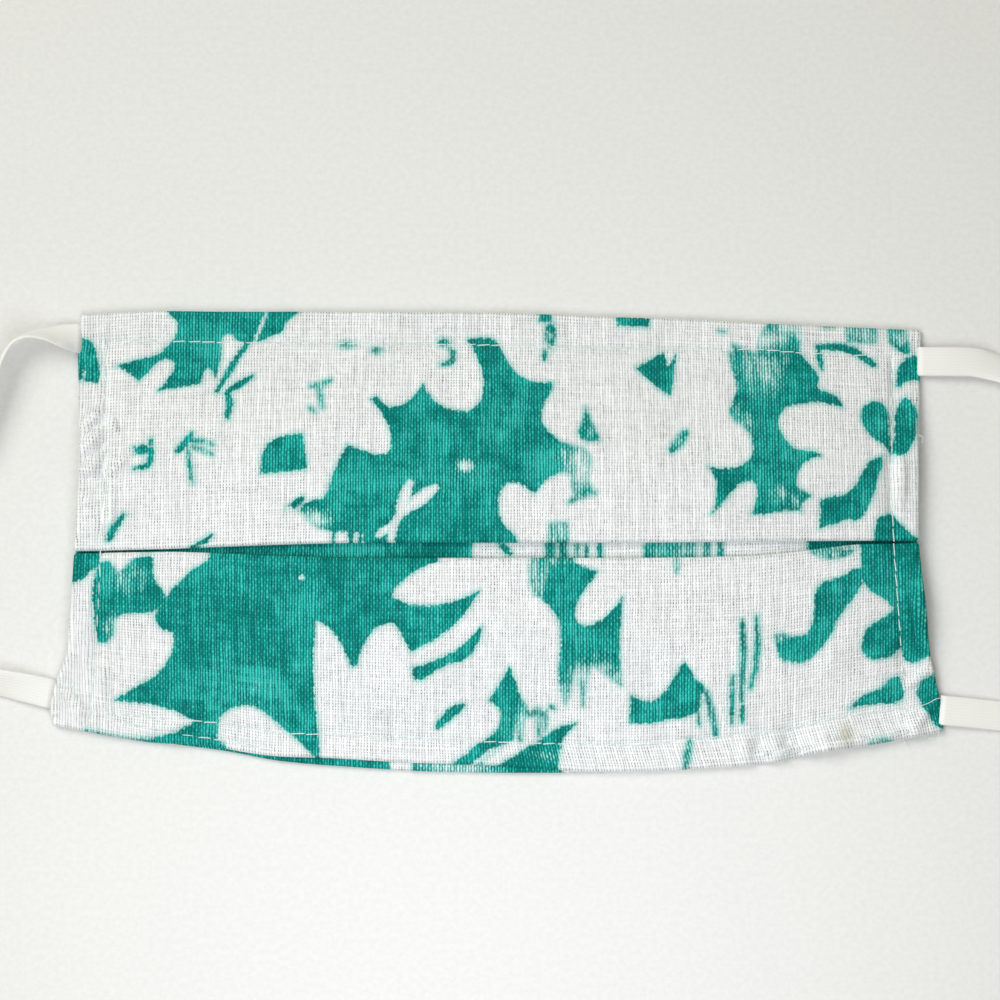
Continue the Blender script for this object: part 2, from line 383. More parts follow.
# Where the ink runs out: it pales towards the bare cloth, unevenly from thread to thread.
DRY = {
    "upper": (cloud(16.8, 14.2, 3.6, 5.4, 0.85), cloud(-36.8, 3.8, 3.8, 2.4, 0.8),
              cloud(-6.5, 14.7, 1.7, 1.5, 0.8), cloud(54, 35.5, 5.5, 7, 0.62),
              cloud(54, 41, 7, 3, 0.8), cloud(61, 43.5, 6, 2.6, 0.85), cloud(60.5, 31, 2, 5, 0.2),
              cloud(58.5, 8, 4, 2.4, 0.4), cloud(50, 25, 2.4, 4, 0.3), cloud(74, 42, 5, 2.2, 0.7),
              cloud(82, 42, 3, 2.4, 0.45), cloud(-59.3, 18.6, 2.6, 2.2, 0.5),
              cloud(12, 1.5, 3, 4, 0.65), cloud(17, 8.4, 4, 1.4, 0.5), cloud(36.8, 19.8, 2.4, 2.4, 0.45),
              cloud(-36, 30, 3.4, 5, 0.5), cloud(-10, 38.4, 2.6, 4, 0.35), cloud(-30.6, 39.9, 2, 1.6, 0.6),
              cloud(-24.6, 38.6, 1.6, 1.4, 0.55), cloud(18.5, 23, 2.6, 4, 0.4), cloud(10, 41, 2.4, 5, 0.25)),
    "lower": (cloud(-74.5, -8, 5, 4, 0.42), cloud(-77.5, -18, 2.2, 4, 0.5), cloud(-68, -12, 2, 3, 0.2),
              cloud(8, -7.5, 2, 5, 0.7), cloud(19, -28, 6, 4, 0.7), cloud(14.5, -31, 3, 4, 0.6),
              cloud(12.5, -4, 4, 2, 0.45), cloud(48.5, -24, 5, 9, 0.35), cloud(43.5, -34, 3, 7, 0.35),
              cloud(38.5, -43, 2, 4, 0.4), cloud(66.5, -2.6, 5, 2, 0.6), cloud(57, -19.6, 3, 1.6, 0.4),
              cloud(7, -36, 5, 4.5, 0.5), cloud(77, -41, 3, 1.4, 0.6), cloud(36, -5, 2, 3, 0.6),
              cloud(10, -43.5, 5, 2, 0.3), cloud(-76, -39.8, 6, 1.6, 0.45), cloud(86.6, -10, 1.0, 8, 0.35)),
    "strip": (cloud(13, -2.5, 5, 8, 0.35), cloud(37, -2.5, 9, 8, 0.35), cloud(54, -2.5, 6, 8, 0.5)),
    "hem": (cloud(-8, -46, 9, 4, 0.6), cloud(-76, -41, 5, 4, 0.5)),
}

# Handling marks in the cloth.
STAINS = (
    cloud(70.4, -39.2, 1.6, 2.4, 0.6),
    cloud(88.2, -33.0, 1.6, 2.0, 0.15),
    cloud(-86.6, -32.0, 2.0, 1.6, 0.15),
)

# ---- The elastic and the loose threads, in millimetres ----

ELASTIC_WIDTH = 6.0
ELASTIC_WALL = 0.9
BAND_TUCK = 1.3  # how far each end of a band reaches into the edge of the cloth

# The way of each ear loop from its upper end to its lower one. Lift is the height of the band's
# lowest edge, and roll is how far the band leans over on edge, in degrees.
LEFT_ROUTE = named_rows(
    "x y lift roll",
    (-85.9, 41.3, 0.9, 6), (-88.7, 41.6, 0.9, 34), (-91.9, 41.9, 0.8, 60), (-95.3, 41.7, 0.6, 74),
    (-98.3, 40.3, 0.4, 78), (-100.7, 37.0, 0.2, 74), (-102.4, 32.4, 0.1, 68), (-104.6, 26.2, 0, 66),
    (-108.0, 18.4, 0, 60), (-114.0, 11.0, 0, 54), (-122.6, 4.8, 0, 48), (-133.0, -0.4, 0, 48),
    (-143.2, -5.4, 0, 54), (-150.6, -11.8, 0, 60), (-153.0, -19.4, 0, 62), (-150.0, -26.6, 0, 56),
    (-142.4, -30.8, 0, 42), (-132.4, -31.0, 0, 24), (-121.8, -29.4, 0, 22), (-111.0, -28.3, 0, 24),
    (-101.2, -28.7, 0.2, 30), (-95.4, -29.8, 0.6, 16), (-90.9, -30.8, 0.9, 0),
)
RIGHT_ROUTE = named_rows(
    "x y lift roll",
    (87.0, 36.6, 0.9, 0), (92.0, 36.5, 1.3, 0), (97.4, 36.3, 1.1, -4), (102.6, 34.9, 0.1, -20),
    (107.6, 32.6, 0, -40), (112.2, 28.0, 0, -52), (117.4, 21.2, 0, -56), (124.4, 13.6, 0, -52),
    (133.6, 7.0, 0, -48), (143.6, 0.8, 0, -52), (152.2, -6.8, 0, -58), (156.6, -16.6, 0, -62),
    (154.4, -26.8, 0, -60), (146.8, -33.8, 0, -50), (136.4, -37.0, 0, -32), (125.0, -37.6, 0, -14),
    (113.6, -36.9, 0, 0), (102.4, -35.6, 0.2, 0), (96.0, -34.9, 0.6, 0), (90.6, -34.4, 0.9, 0),
)
LOOPS = {
    "left": {"route": LEFT_ROUTE, "length": 0.1658, "node": "ear_loop_left"},
    "right": {"route": RIGHT_ROUTE, "length": 0.1704, "node": "ear_loop_right"},
}

# Thread ends that have worked loose: points on the cloth, and how high each stands above it.
LOOSE_THREADS = (
    ((57.4, -44.2, 0.2), (58.2, -44.9, 0.5), (59.4, -44.9, 0.4)),
    ((85.2, -38.8, 0.3), (86.6, -39.8, 0.5), (88.3, -40.2, 0.5), (89.1, -39.3, 0.5), (88.7, -38.4, 0.3)),
    ((82.0, -40.2, 0.2), (82.3, -41.0, 0.4), (82.6, -41.6, 0.2)),
    ((85.6, -33.4, 0.75), (87.0, -32.9, 0.8), (88.4, -32.1, 0.8), (89.6, -31.9, 0.7)),
    ((-85.6, -36.4, 0.3), (-86.4, -37.4, 0.5), (-85.9, -38.2, 0.3)),
    ((85.6, 21.4, 0.5), (86.4, 20.8, 0.6), (86.2, 19.8, 0.3)),
)
# Bar tacks that hold the elastic: start and end of each row of thread.
BAR_TACKS = (
    ((-87.4, -31.0), (-84.8, -31.5)),
    ((-88.0, -29.6), (-85.0, -29.9)),
)

# ---- Reading tables and measuring distances ----


def read_table(rows, key, at):
    """Reads one column at every value of at, on a smooth curve that never overshoots its rows."""
    at = np.asarray(at, dtype=float)
    place = np.array([row["at"] for row in rows])
    value = np.array([row[key] for row in rows])
    step = np.diff(place)
    slope = np.diff(value) / step
    tangent = np.zeros(len(value))
    tangent[0], tangent[-1] = slope[0], slope[-1]
    same_way = slope[:-1] * slope[1:] > 0
    inner = np.where(same_way, slope[:-1] * slope[1:], 0.0)
    tangent[1:-1] = np.where(same_way, 2 * inner / np.where(same_way, slope[:-1] + slope[1:], 1), 0)
    low = np.clip(np.searchsorted(place, at) - 1, 0, len(step) - 1)
    share = np.clip((at - place[low]) / step[low], 0, 1)
    start, end = value[low], value[low + 1]
    rise_start, rise_end = tangent[low] * step[low], tangent[low + 1] * step[low]
    return (
        start * (2 * share**3 - 3 * share**2 + 1)
        + rise_start * (share**3 - 2 * share**2 + share)
        + end * (3 * share**2 - 2 * share**3)
        + rise_end * (share**3 - share**2)
    )


def smooth_step(share):
    share = np.clip(share, 0, 1)
    return share * share * (3 - 2 * share)


def bell(distance, half):
    return np.exp(-((distance / half) ** 2))


def segment_distance(x, y, start, end):
    """The distance from each point to a straight run, and how far along the run it is nearest."""
    run = np.subtract(end, start)
    share = ((x - start[0]) * run[0] + (y - start[1]) * run[1]) / max(float(run @ run), 1e-9)
    share = np.clip(share, 0, 1)
    return np.hypot(x - start[0] - share * run[0], y - start[1] - share * run[1]), share


def path_distance(x, y, points):
    return np.min([segment_distance(x, y, a, b)[0] for a, b in zip(points, points[1:])], axis=0)


def value_noise(x, y, size, seed):
    """Smooth noise between -1 and 1 whose bumps are about size apart."""
    cells = 64
    lattice = np.random.default_rng(seed).uniform(-1, 1, (cells, cells))
    u, v = np.asarray(x) / size + 1000.5, np.asarray(y) / size + 1000.5
    i, j = np.floor(u).astype(int), np.floor(v).astype(int)
    s, t = smooth_step(u - i), smooth_step(v - j)
    corner = lambda a, b: lattice[(i + a) % cells, (j + b) % cells]
    low = corner(0, 0) * (1 - s) + corner(1, 0) * s
    high = corner(0, 1) * (1 - s) + corner(1, 1) * s
    return low * (1 - t) + high * t


# ---- Drawing the print ----

OUTLINE_STEPS = 5
CORNER_TURN = math.radians(72)  # an outline that turns more than this at a point has a corner
FAR_FROM_INK = 4.0  # distances are kept this close, in millimetres


def rounded_outline(points):
    """A closed outline through points, curved between them and sharp at its tips."""
    p = np.array(points, dtype=float)
    before, after = np.roll(p, 1, axis=0), np.roll(p, -1, axis=0)
    back, ahead = p - before, after - p
    cross = back[:, 0] * ahead[:, 1] - back[:, 1] * ahead[:, 0]
    turn = np.abs(np.arctan2(cross, (back * ahead).sum(axis=1)))
    length_back = np.linalg.norm(back, axis=1, keepdims=True)
    length_ahead = np.linalg.norm(ahead, axis=1, keepdims=True)
    along = back / length_back + ahead / length_ahead
    along /= np.maximum(np.linalg.norm(along, axis=1, keepdims=True), 1e-6)
    along[turn > CORNER_TURN] = 0
    outline = []
    for k in range(len(p)):
        n = (k + 1) % len(p)
        reach = length_ahead[k]
        for step in range(OUTLINE_STEPS):
            t = step / OUTLINE_STEPS
            outline.append(
                p[k] * (2 * t**3 - 3 * t**2 + 1)
                + along[k] * reach * (t**3 - 2 * t**2 + t)
                + p[n] * (3 * t**2 - 2 * t**3)
                + along[n] * reach * (t**3 - t**2)
            )
    return np.array(outline)


def outline_distance(x, y, outline):
    """Signed distance to a closed outline, negative inside."""
    nearest = np.full(x.shape, np.inf)
    inside = np.zeros(x.shape, dtype=bool)
    for start, end in zip(outline, np.roll(outline, -1, axis=0)):
        distance, _ = segment_distance(x, y, start, end)
        nearest = np.minimum(nearest, distance)
        if start[1] != end[1]:
            crosses = (start[1] > y) != (end[1] > y)
            at = start[0] + (y - start[1]) * (end[0] - start[0]) / (end[1] - start[1])
            inside ^= crosses & (x < at)
    return np.where(inside, -nearest, nearest)


def stroke_distance(x, y, mark):
    """Signed distance to a brush stroke, which is narrower towards its ends."""
    points = np.array(mark["points"], dtype=float)
    runs = len(points) - 1
    best = np.full(x.shape, np.inf)
    for k in range(runs):
        distance, share = segment_distance(x, y, points[k], points[k + 1])
        along = (k + share) / runs
        half = mark["half"] * (0.62 + 0.38 * np.sin(math.pi * along))
        best = np.minimum(best, distance - half)
    return best


def mark_distance(x, y, mark):
    if mark["form"] == "area":
        return outline_distance(x, y, rounded_outline(mark["points"]))
    if mark["form"] == "stroke":
        return stroke_distance(x, y, mark)
    from_centre = np.hypot((x - mark["centre"][0]) / mark["half"], (y - mark["centre"][1]) / mark["height"])
    return (from_centre - 1) * min(mark["half"], mark["height"])


def mark_box(mark):
    points = np.array(mark.get("points", [mark.get("centre")]), dtype=float)
    margin = FAR_FROM_INK + max(mark.get("half", 0), mark.get("height", 0))
    return points.min(axis=0) - margin, points.max(axis=0) + margin


def ink_distance(chart, x, y):
    """Signed distance to the nearest edge of the ink on one chart, negative on inked cloth."""
    distance = np.full(x.shape, FAR_FROM_INK)
    for mark in PRINTS[chart]:
        low, high = mark_box(mark)
        near = (x > low[0]) & (x < high[0]) & (y > low[1]) & (y < high[1])
        if not near.any():
            continue
        own = np.clip(mark_distance(x[near], y[near], mark), -FAR_FROM_INK, FAR_FROM_INK)
        if mark["tone"] == "ink":
            distance[near] = np.minimum(distance[near], own)
        else:
            distance[near] = np.maximum(distance[near], -own)
    return distance


def clouds(patches, x, y):
    """The strongest of several soft patches at each point."""
    amount = np.zeros(x.shape)
    for patch in patches:
        away = np.hypot((x - patch["centre"][0]) / patch["width"], (y - patch["centre"][1]) / patch["height"])
        amount = np.maximum(amount, patch["amount"] * np.exp(-(away**2.4)))
    return amount


# ---- The shape of the cloth ----


def station_lines(across):
    """The edges and folds of the face at each share of the way across the mask."""
    top = read_table(STATIONS, "top", across)
    bottom = read_table(STATIONS, "bottom", across)
    fold = read_table(STATIONS, "fold", across)
    return {
        "top": top,
        "bottom": bottom,
        "face_bottom": bottom + read_table(STATIONS, "peek", across),
        "upper_fold": fold,
        "lower_fold": fold - read_table(STATIONS, "open", across),
    }


def side_edges(y):
    return read_table(LEFT_EDGE, "x", y), read_table(RIGHT_EDGE, "x", y)


def arch(value, low, high):
    share = np.clip((value - low) / (high - low), 0, 1)
    return 4 * share * (1 - share)


def crown(x, y, line):
    """How far the cloth stands above its hems."""
    left, right = side_edges(y)
    across = np.sqrt(arch(x, left + HEM_DEPTH, right - HEM_DEPTH))
    return CROWN_RISE * across * arch(y, line["bottom"] + HEM_DEPTH, line["top"] - HEM_DEPTH)


def face_level(y, line):
    """How many layers lie under the face at y: none at the hem lines and two over the pleat."""
    upper = line["top"] - HEM_DEPTH
    lower = line["bottom"] + HEM_DEPTH
    over_upper = smooth_step((upper - y) / (upper - line["upper_fold"] - PLEAT_DEPTH))
    over_lower = smooth_step((y - lower) / (line["lower_fold"] - PLEAT_DEPTH - lower))
    return FACE_LEVEL * np.minimum(over_upper, over_lower)


SEAM_DIP = 0.34
SEAM_HALF = 0.75
PUCKER_REACH = 3.2
LUMPS = {"lower_right": 1.1, "left": 0.7}  # how much each seam gathers the cloth
DEEPEST_HOLLOW = 0.8  # keeps the face above the hem under it
HEM_SLANT = 0.28  # how far the threads lean in the lower right hem
SLANT_START = -20.0  # where along the mask the lean begins
SLANT_RUN = 40.0  # and how long it takes to reach its full amount


def relief(x, y):
    """Waves, seam valleys and puckers that the face has on top of its folds."""
    height = 0.26 * value_noise(x, y, 16.0, 1) + 0.13 * value_noise(x, y, 6.5, 2)
    height += 0.05 * value_noise(x, y, 2.4, 3)
    for number, (name, points) in enumerate(SEAMS.items()):
        away = path_distance(x, y, points)
        height -= SEAM_DIP * bell(away, SEAM_HALF)
        along = y if name in ("left", "right") else x
        ripple = value_noise(along, 0 * along + number, 3.2, 10 + number)
        height += LUMPS.get(name, 0.3) * ripple * bell(away - 0.6, PUCKER_REACH) * smooth_step(away / 0.8)
    for pucker in PUCKERS:
        away, share = segment_distance(x, y, pucker["start"], pucker["end"])
        taper = 0.45 + 0.55 * np.sin(math.pi * share)
        height += pucker["rise"] * taper * bell(away, pucker["half"])
    return np.maximum(height, -DEEPEST_HOLLOW)


def face_height(x, y, wall):
    """Height of the outside of the face above the surface that the mask lies on."""
    left, right = side_edges(y)
    line = station_lines((x - left) / (right - left))
    pitch = wall + LAYER_GAP
    level = face_level(y, line)
    return HEM_BASE + pitch + wall + crown(x, y, line) + level * pitch + relief(x, y)


# How finely the cloth is made: the number of steps in each run.
SHEET_COLUMNS = 350
CURL_STEPS = 5
LOWER_STEPS = 86
TURN_STEPS = 6
RETURN_STEPS = 5
INNER_TURN_STEPS = 4
UNDERLAY_STEPS = 5
STRIP_STEPS = 10
UPPER_STEPS = 95
UNDERSIDE_SKIP = 4
STRIP_MARGIN = 1.2  # the finely made strip of underlay reaches this far under both folds


def run(rows, start, end, steps, chart, level, beyond=0.0, sign=0.0):
    """A straight run of rows, without its last. Beyond and sign carry the print past a fold."""
    for k in range(steps):
        share = k / steps
        y = start + (end - start) * share
        rows.append({"y": y, "chart": chart, "level": level, "drop": 0.0,
                     "print_y": y if sign == 0 else beyond + sign * np.abs(y - start)})


def turn(rows, centre, way, from_level, to_level, steps, pitch, chart, print_y):
    """Half a turn round a fold, without its last row. It bulges up the mask when way is 1."""
    for k in range(steps):
        angle = math.pi * k / steps
        level = from_level + (to_level - from_level) * (1 - math.cos(angle)) / 2
        rows.append({"y": centre + way * pitch / 2 * math.sin(angle), "chart": chart, "level": level,
                     "drop": 0.0, "print_y": print_y + 0 * centre})


def curl(rows, edge, way, chart, line, opening):
    """The rounded outer edge, where the face turns down over its hem."""
    steps = range(CURL_STEPS) if opening else range(1, CURL_STEPS + 1)
    for k in steps:
        share = (CURL_STEPS - k) / CURL_STEPS if opening else k / CURL_STEPS
        angle = math.radians(FOLD_SWEEP) * share
        y = edge + way * FOLD_RADIUS * math.sin(angle)
        rows.append({"y": y, "chart": chart, "level": face_level(edge, line), "curl": True,
                     "drop": FOLD_RADIUS * (1 - math.cos(angle)),
                     "print_y": edge + way * FOLD_RADIUS * angle})


def cloth_rows(line, wall):
    """The cloth's middle line from the bottom edge over both folds to the top edge."""
    pitch = wall + LAYER_GAP
    reach = (pitch + wall) / 2
    inset = FOLD_RADIUS + wall / 2
    bottom, top = line["face_bottom"] + inset, line["top"] - inset
    lower_centre = line["lower_fold"] - reach
    lower_inner = line["lower_fold"] - PLEAT_DEPTH + reach
    upper_inner = line["upper_fold"] + PLEAT_DEPTH - reach
    upper_centre = line["upper_fold"] + reach
    strip_low = line["lower_fold"] - STRIP_MARGIN
    strip_high = line["upper_fold"] + STRIP_MARGIN
    face = lambda rows: [row.update(level=face_level(row["y"], line)) for row in rows]
    rows = []
    curl(rows, bottom, -1, "lower", line, True)
    low_face = []
    run(low_face, bottom, lower_centre, LOWER_STEPS, "lower", 0)
    face(low_face)
    rows += low_face
    turn(rows, lower_centre, 1, 2, 1, TURN_STEPS, pitch, "lower", line["lower_fold"])
    run(rows, lower_centre, lower_inner, RETURN_STEPS, "lower", 1, line["lower_fold"], 1)
    turn(rows, lower_inner, -1, 1, 0, INNER_TURN_STEPS, pitch, "strip", lower_inner)
    run(rows, lower_inner, strip_low, UNDERLAY_STEPS, "strip", 0)
    run(rows, strip_low, strip_high, STRIP_STEPS, "strip", 0)
    run(rows, strip_high, upper_inner, UNDERLAY_STEPS, "strip", 0)
    turn(rows, upper_inner, 1, 0, 1, INNER_TURN_STEPS, pitch, "strip", upper_inner)
    run(rows, upper_inner, upper_centre, RETURN_STEPS, "upper", 1, line["upper_fold"] - PLEAT_DEPTH, 1)
    turn(rows, upper_centre, -1, 1, 2, TURN_STEPS, pitch, "upper", line["upper_fold"])
    high_face = []
    run(high_face, upper_centre, top, UPPER_STEPS, "upper", 0)
    high_face.append({"y": top, "chart": "upper", "drop": 0.0, "print_y": top})
    face(high_face)
    rows += high_face
    curl(rows, top, 1, "upper", line, False)
    return rows


def sheet_columns():
    """Share across the mask of every column, and how far each is curled down at the sides."""
    flat = np.linspace(0, 1, SHEET_COLUMNS + 1)
    turned = np.arange(CURL_STEPS, 0, -1) / CURL_STEPS
    across = np.concatenate([np.zeros(CURL_STEPS), flat, np.ones(CURL_STEPS)])
    sweep = np.concatenate([-turned, 0 * flat, turned[::-1]]) * math.radians(FOLD_SWEEP)
    return across, sweep


def pleated_sheet(wall):
    """The middle surface of the cloth and what is printed where, one value for each grid point."""
    across, sweep = sheet_columns()
    line = station_lines(across)
    pitch = wall + LAYER_GAP
    inset = FOLD_RADIUS + wall / 2
    rows = cloth_rows(line, wall)
    grid = np.zeros((len(across), len(rows), 3))
    facts = {key: np.zeros(grid.shape[:2]) for key in ("ink_distance", "wash", "dry", "stain", "u", "v")}
    for j, row in enumerate(rows):
        y = row["y"]
        left, right = side_edges(y)
        edge = left + inset + (right - left - 2 * inset) * across
        x = edge + FOLD_RADIUS * np.sin(sweep)
        drop = row["drop"] + FOLD_RADIUS * (1 - np.cos(sweep))
        lowest = HEM_BASE + pitch + wall / 2
        height = lowest + crown(edge, y, line) + row["level"] * pitch + relief(edge, y) - drop
        grid[:, j] = np.stack([x, y, height], axis=1)
        print_x = edge + FOLD_RADIUS * sweep
        facts["ink_distance"][:, j] = ink_distance(row["chart"], print_x, row["print_y"])
        facts["wash"][:, j] = clouds(WASHES[row["chart"]], print_x, row["print_y"])
        facts["dry"][:, j] = clouds(DRY[row["chart"]], print_x, row["print_y"])
        facts["stain"][:, j] = clouds(STAINS, print_x, row["print_y"])
        facts["u"][:, j] = print_x
        if row["chart"] == "lower":
            seam_x, seam_y = np.transpose(SEAMS["bottom"])
            below = np.maximum(np.interp(print_x, seam_x, seam_y) - row["print_y"], 0)
            facts["u"][:, j] -= HEM_SLANT * below * smooth_step((print_x - SLANT_START) / SLANT_RUN)
    steps = np.linalg.norm(np.diff(grid, axis=1), axis=2).mean(axis=0)
    facts["v"][:] = np.concatenate([[0], np.cumsum(steps)])[None, :]
    return grid, facts


# ---- Making meshes ----


def surface_normals(grid):
    along = np.gradient(grid, axis=0)
    up = np.gradient(grid, axis=1)
    normal = np.cross(along, up)
    return normal / np.maximum(np.linalg.norm(normal, axis=2, keepdims=True), 1e-12)


def skip_list(count, skip):
    """Every few numbers from 0 to count - 1, always with the last."""
    return sorted(set(range(0, count, skip)) | {count - 1})


def zip_border(fine, coarse, places):
    """Triangles that join a finely divided border to a coarse one. Places are where on the fine
    border each corner of the coarse one belongs."""
    faces = []
    for k in range(len(places) - 1):
        first, last = places[k], places[k + 1]
        middle = (first + last) // 2
        near, far = coarse[k], coarse[k + 1]
        faces += [(near, fine[n + 1], fine[n]) for n in range(first, middle)]
        faces.append((near, far, fine[middle]))
        faces += [(far, fine[n + 1], fine[n]) for n in range(middle, last)]
    return faces


def closed_sheet(grid, wall, skip):
    """A closed sheet round a middle surface: fine outside, coarser inside. Returns its points,
    faces, the number of outside faces and the grid point that each point belongs to."""
    columns, rows = grid.shape[:2]
    normal = surface_normals(grid)
    outside = (grid + normal * wall / 2).reshape(-1, 3)
    number = np.arange(columns * rows).reshape(columns, rows)
    under_columns, under_rows = skip_list(columns, skip), skip_list(rows, skip)
    picked = number[np.ix_(under_columns, under_rows)]
    inside = (grid - normal * wall / 2).reshape(-1, 3)[picked.ravel()]
    under = np.arange(picked.size).reshape(picked.shape) + columns * rows
    quads = lambda n: np.stack([n[:-1, :-1], n[1:, :-1], n[1:, 1:], n[:-1, 1:]], axis=2).reshape(-1, 4)
    faces = quads(number).tolist()
    outside_count = len(faces)
    faces += quads(under)[:, ::-1].tolist()
    faces += zip_border(number[:, 0], under[:, 0], under_columns)
    faces += [f[::-1] for f in zip_border(number[:, -1], under[:, -1], under_columns)]
    faces += [f[::-1] for f in zip_border(number[0], under[0], under_rows)]
    faces += zip_border(number[-1], under[-1], under_rows)
    source = np.concatenate([number.ravel(), picked.ravel()])
    return np.concatenate([outside, inside]), faces, outside_count, source


def mesh_object(name, points, faces, materials):
    """A smooth-shaded object at the origin, from points in millimetres."""
    mesh = bpy.data.meshes.new(name)
    mesh.from_pydata((np.asarray(points) * MM).tolist(), [], [tuple(f) for f in faces])
    mesh.polygons.foreach_set("use_smooth", [True] * len(mesh.polygons))
    for material in materials:
        mesh.materials.append(material)
    mesh.update()
    made = bpy.data.objects.new(name, mesh)
    bpy.context.scene.collection.objects.link(made)
    return made


def add_values(mesh, name, values):
    layer = mesh.attributes.new(name, "FLOAT", "POINT")
    layer.data.foreach_set("value", np.asarray(values, dtype=np.float32))


def add_uv(mesh, u, v):
    """A UV map in millimetres of cloth, so that a weave keeps its scale."""
    layer = mesh.uv_layers.new(name="cloth_mm")
    corner = np.empty(len(mesh.loops), dtype=np.int32)
    mesh.loops.foreach_get("vertex_index", corner)
    layer.data.foreach_set("uv", np.stack([u[corner], v[corner]], axis=1).astype(np.float32).ravel())


def cloth_object(name, grid, facts, wall, skip, materials):
    points, faces, outside_count, source = closed_sheet(grid, wall, skip)
    made = mesh_object(name, points, faces, materials)
    side = np.zeros(len(faces), dtype=np.int32)
    side[outside_count:] = len(materials) - 1
    made.data.polygons.foreach_set("material_index", side)
    for key in ("ink_distance", "wash", "dry", "stain"):
        add_values(made.data, key, facts[key].ravel()[source])
    add_uv(made.data, facts["u"].ravel()[source], facts["v"].ravel()[source])
    return made


def finish_piece(piece, slot_name, *nodes):
    """Says which body a piece rides on, its finish and the CAD nodes that it stands for."""
    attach(piece, BODY)
    if nodes:
        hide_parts(*nodes)
    return piece


# ---- Hems ----

HEM_COLUMNS = 240
HEM_ROWS = 10
HEM_INSET = 0.45  # the side and top hems stay this far inside the rounded edge of the face


def hem_sheet(name, wall):
    """The middle surface of one turned-under strip, outside down except where it shows."""
    share_along = np.linspace(0, 1, HEM_COLUMNS + 1)
    share_in = np.linspace(0, 1, HEM_ROWS + 1)
    along, inward = np.meshgrid(share_along, share_in, indexing="ij")
    if name in ("top", "bottom"):
        line = station_lines(along)
        way = -1 if name == "top" else 1
        start = line[name] + way * (HEM_INSET if name == "top" else 0.1)
        y = start + way * inward * (HEM_DEPTH - HEM_INSET)
        left, right = side_edges(y)
        gap = HEM_DEPTH + LAYER_GAP
        x = left + gap + (right - left - 2 * gap) * along
    else:
        corner = station_lines(np.array([0.0 if name == "left" else 1.0]))
        low, high = float(corner["bottom"][0]) + 0.8, float(corner["top"][0]) - 0.8
        y = low + (high - low) * along
        left, right = side_edges(y)
        outer = left + HEM_INSET if name == "left" else right - HEM_INSET
        x = outer + (1 if name == "left" else -1) * inward * (HEM_DEPTH - HEM_INSET)
    edge_round = 0.25 * bell(inward, 0.12)
    z = HEM_BASE + wall / 2 + 0 * x + 0.05 * value_noise(x, y, 5.0, 7) * (1 - edge_round)
    grid = np.stack([x, y, np.maximum(z, wall / 2)], axis=2)
    if name in ("top", "left"):
        grid = grid[:, ::-1]
    if name in ("left", "right"):
        grid = grid[:, ::-1]
    return grid


def hem_facts(grid):
    x, y = grid[..., 0], grid[..., 1]
    return {
        "ink_distance": ink_distance("hem", x, y),
        "wash": clouds(WASHES["hem"], x, y),
        "dry": clouds(DRY["hem"], x, y),
        "stain": clouds(STAINS, x, y),
        "u": x,
        "v": y,
    }


# ---- The elastic band ----

BAND_STEPS = 420
BAND_SIDES = 44
BAND_RIBS = 9
RIB_DEPTH = 0.018


def route_point(points, share):
    """A point on the smooth curve through points, at a share of their number."""
    last = len(points) - 1
    place = min(share, 1) * last
    k = min(int(place), last - 1)
    weight = place - k
    p1, p2 = points[k], points[k + 1]
    p0 = points[k - 1] if k > 0 else 2 * p1 - p2
    p3 = points[k + 2] if k < last - 1 else 2 * p2 - p1
    d0, d1, d2 = (max(float((b - a).length), 1e-6) ** 0.5 for a, b in ((p0, p1), (p1, p2), (p2, p3)))
    t1 = ((p1 - p0) / d0 - (p2 - p0) / (d0 + d1) + (p2 - p1) / d1) * d1
    t2 = ((p2 - p1) / d1 - (p3 - p1) / (d1 + d2) + (p3 - p2) / d2) * d1
    w2, w3 = weight**2, weight**3
    return p1 + t1 * weight + (3 * (p2 - p1) - 2 * t1 - t2) * w2 + (2 * (p1 - p2) + t1 + t2) * w3


def band_frame(route):
    """Centre, sideways and outward direction at each step along an ear loop, in millimetres."""
    points = []
    for row in route:
        lean = math.radians(abs(row["roll"]))
        height = row["lift"] + ELASTIC_WIDTH / 2 * math.sin(lean) + ELASTIC_WALL / 2 * math.cos(lean)
        points.append(Vector((row["x"], row["y"], height)))
    rolls = [{"at": k / (len(route) - 1), "roll": row["roll"]} for k, row in enumerate(route)]
    shares = np.linspace(0, 1, BAND_STEPS + 1)
    lean = np.radians(read_table(rolls, "roll", shares))
    centres = [route_point(points, share) for share in shares]
    frames = []
    for k, centre in enumerate(centres):
        tangent = (centres[min(k + 1, BAND_STEPS)] - centres[max(k - 1, 0)]).normalized()
        sideways = Vector((0, 0, 1)).cross(tangent).normalized()
        sideways = Matrix.Rotation(float(lean[k]), 3, tangent) @ sideways
        frames.append((centre, sideways, tangent.cross(sideways)))
    first, last = frames[0], frames[-1]
    start_way = (centres[0] - centres[1]).normalized()
    end_way = (centres[-1] - centres[-2]).normalized()
    tucked_start = (first[0] + start_way * BAND_TUCK, first[1], first[2])
    tucked_end = (last[0] + end_way * BAND_TUCK, last[1], last[2])
    return [tucked_start, *frames, tucked_end]


def band_section():
    """Points round the flat section of the band, ribbed on both faces and round at its edges."""
    section = []
    half_wall, half_width = ELASTIC_WALL / 2, ELASTIC_WIDTH / 2
    for k in range(BAND_SIDES):
        angle = 2 * math.pi * k / BAND_SIDES
        c, s = math.cos(angle), math.sin(angle)
        across = half_width * math.copysign(abs(c) ** 0.55, c)
        edge = max(0.0, 1 - abs(across / half_width) ** 6)
        rib = RIB_DEPTH * abs(math.sin(math.pi * BAND_RIBS * (across / ELASTIC_WIDTH + 0.5)))
        height = math.copysign((half_wall - RIB_DEPTH) * edge**0.5 + rib * edge, s)
        section.append((across, height if abs(s) > 1e-6 else 0.0))
    return section


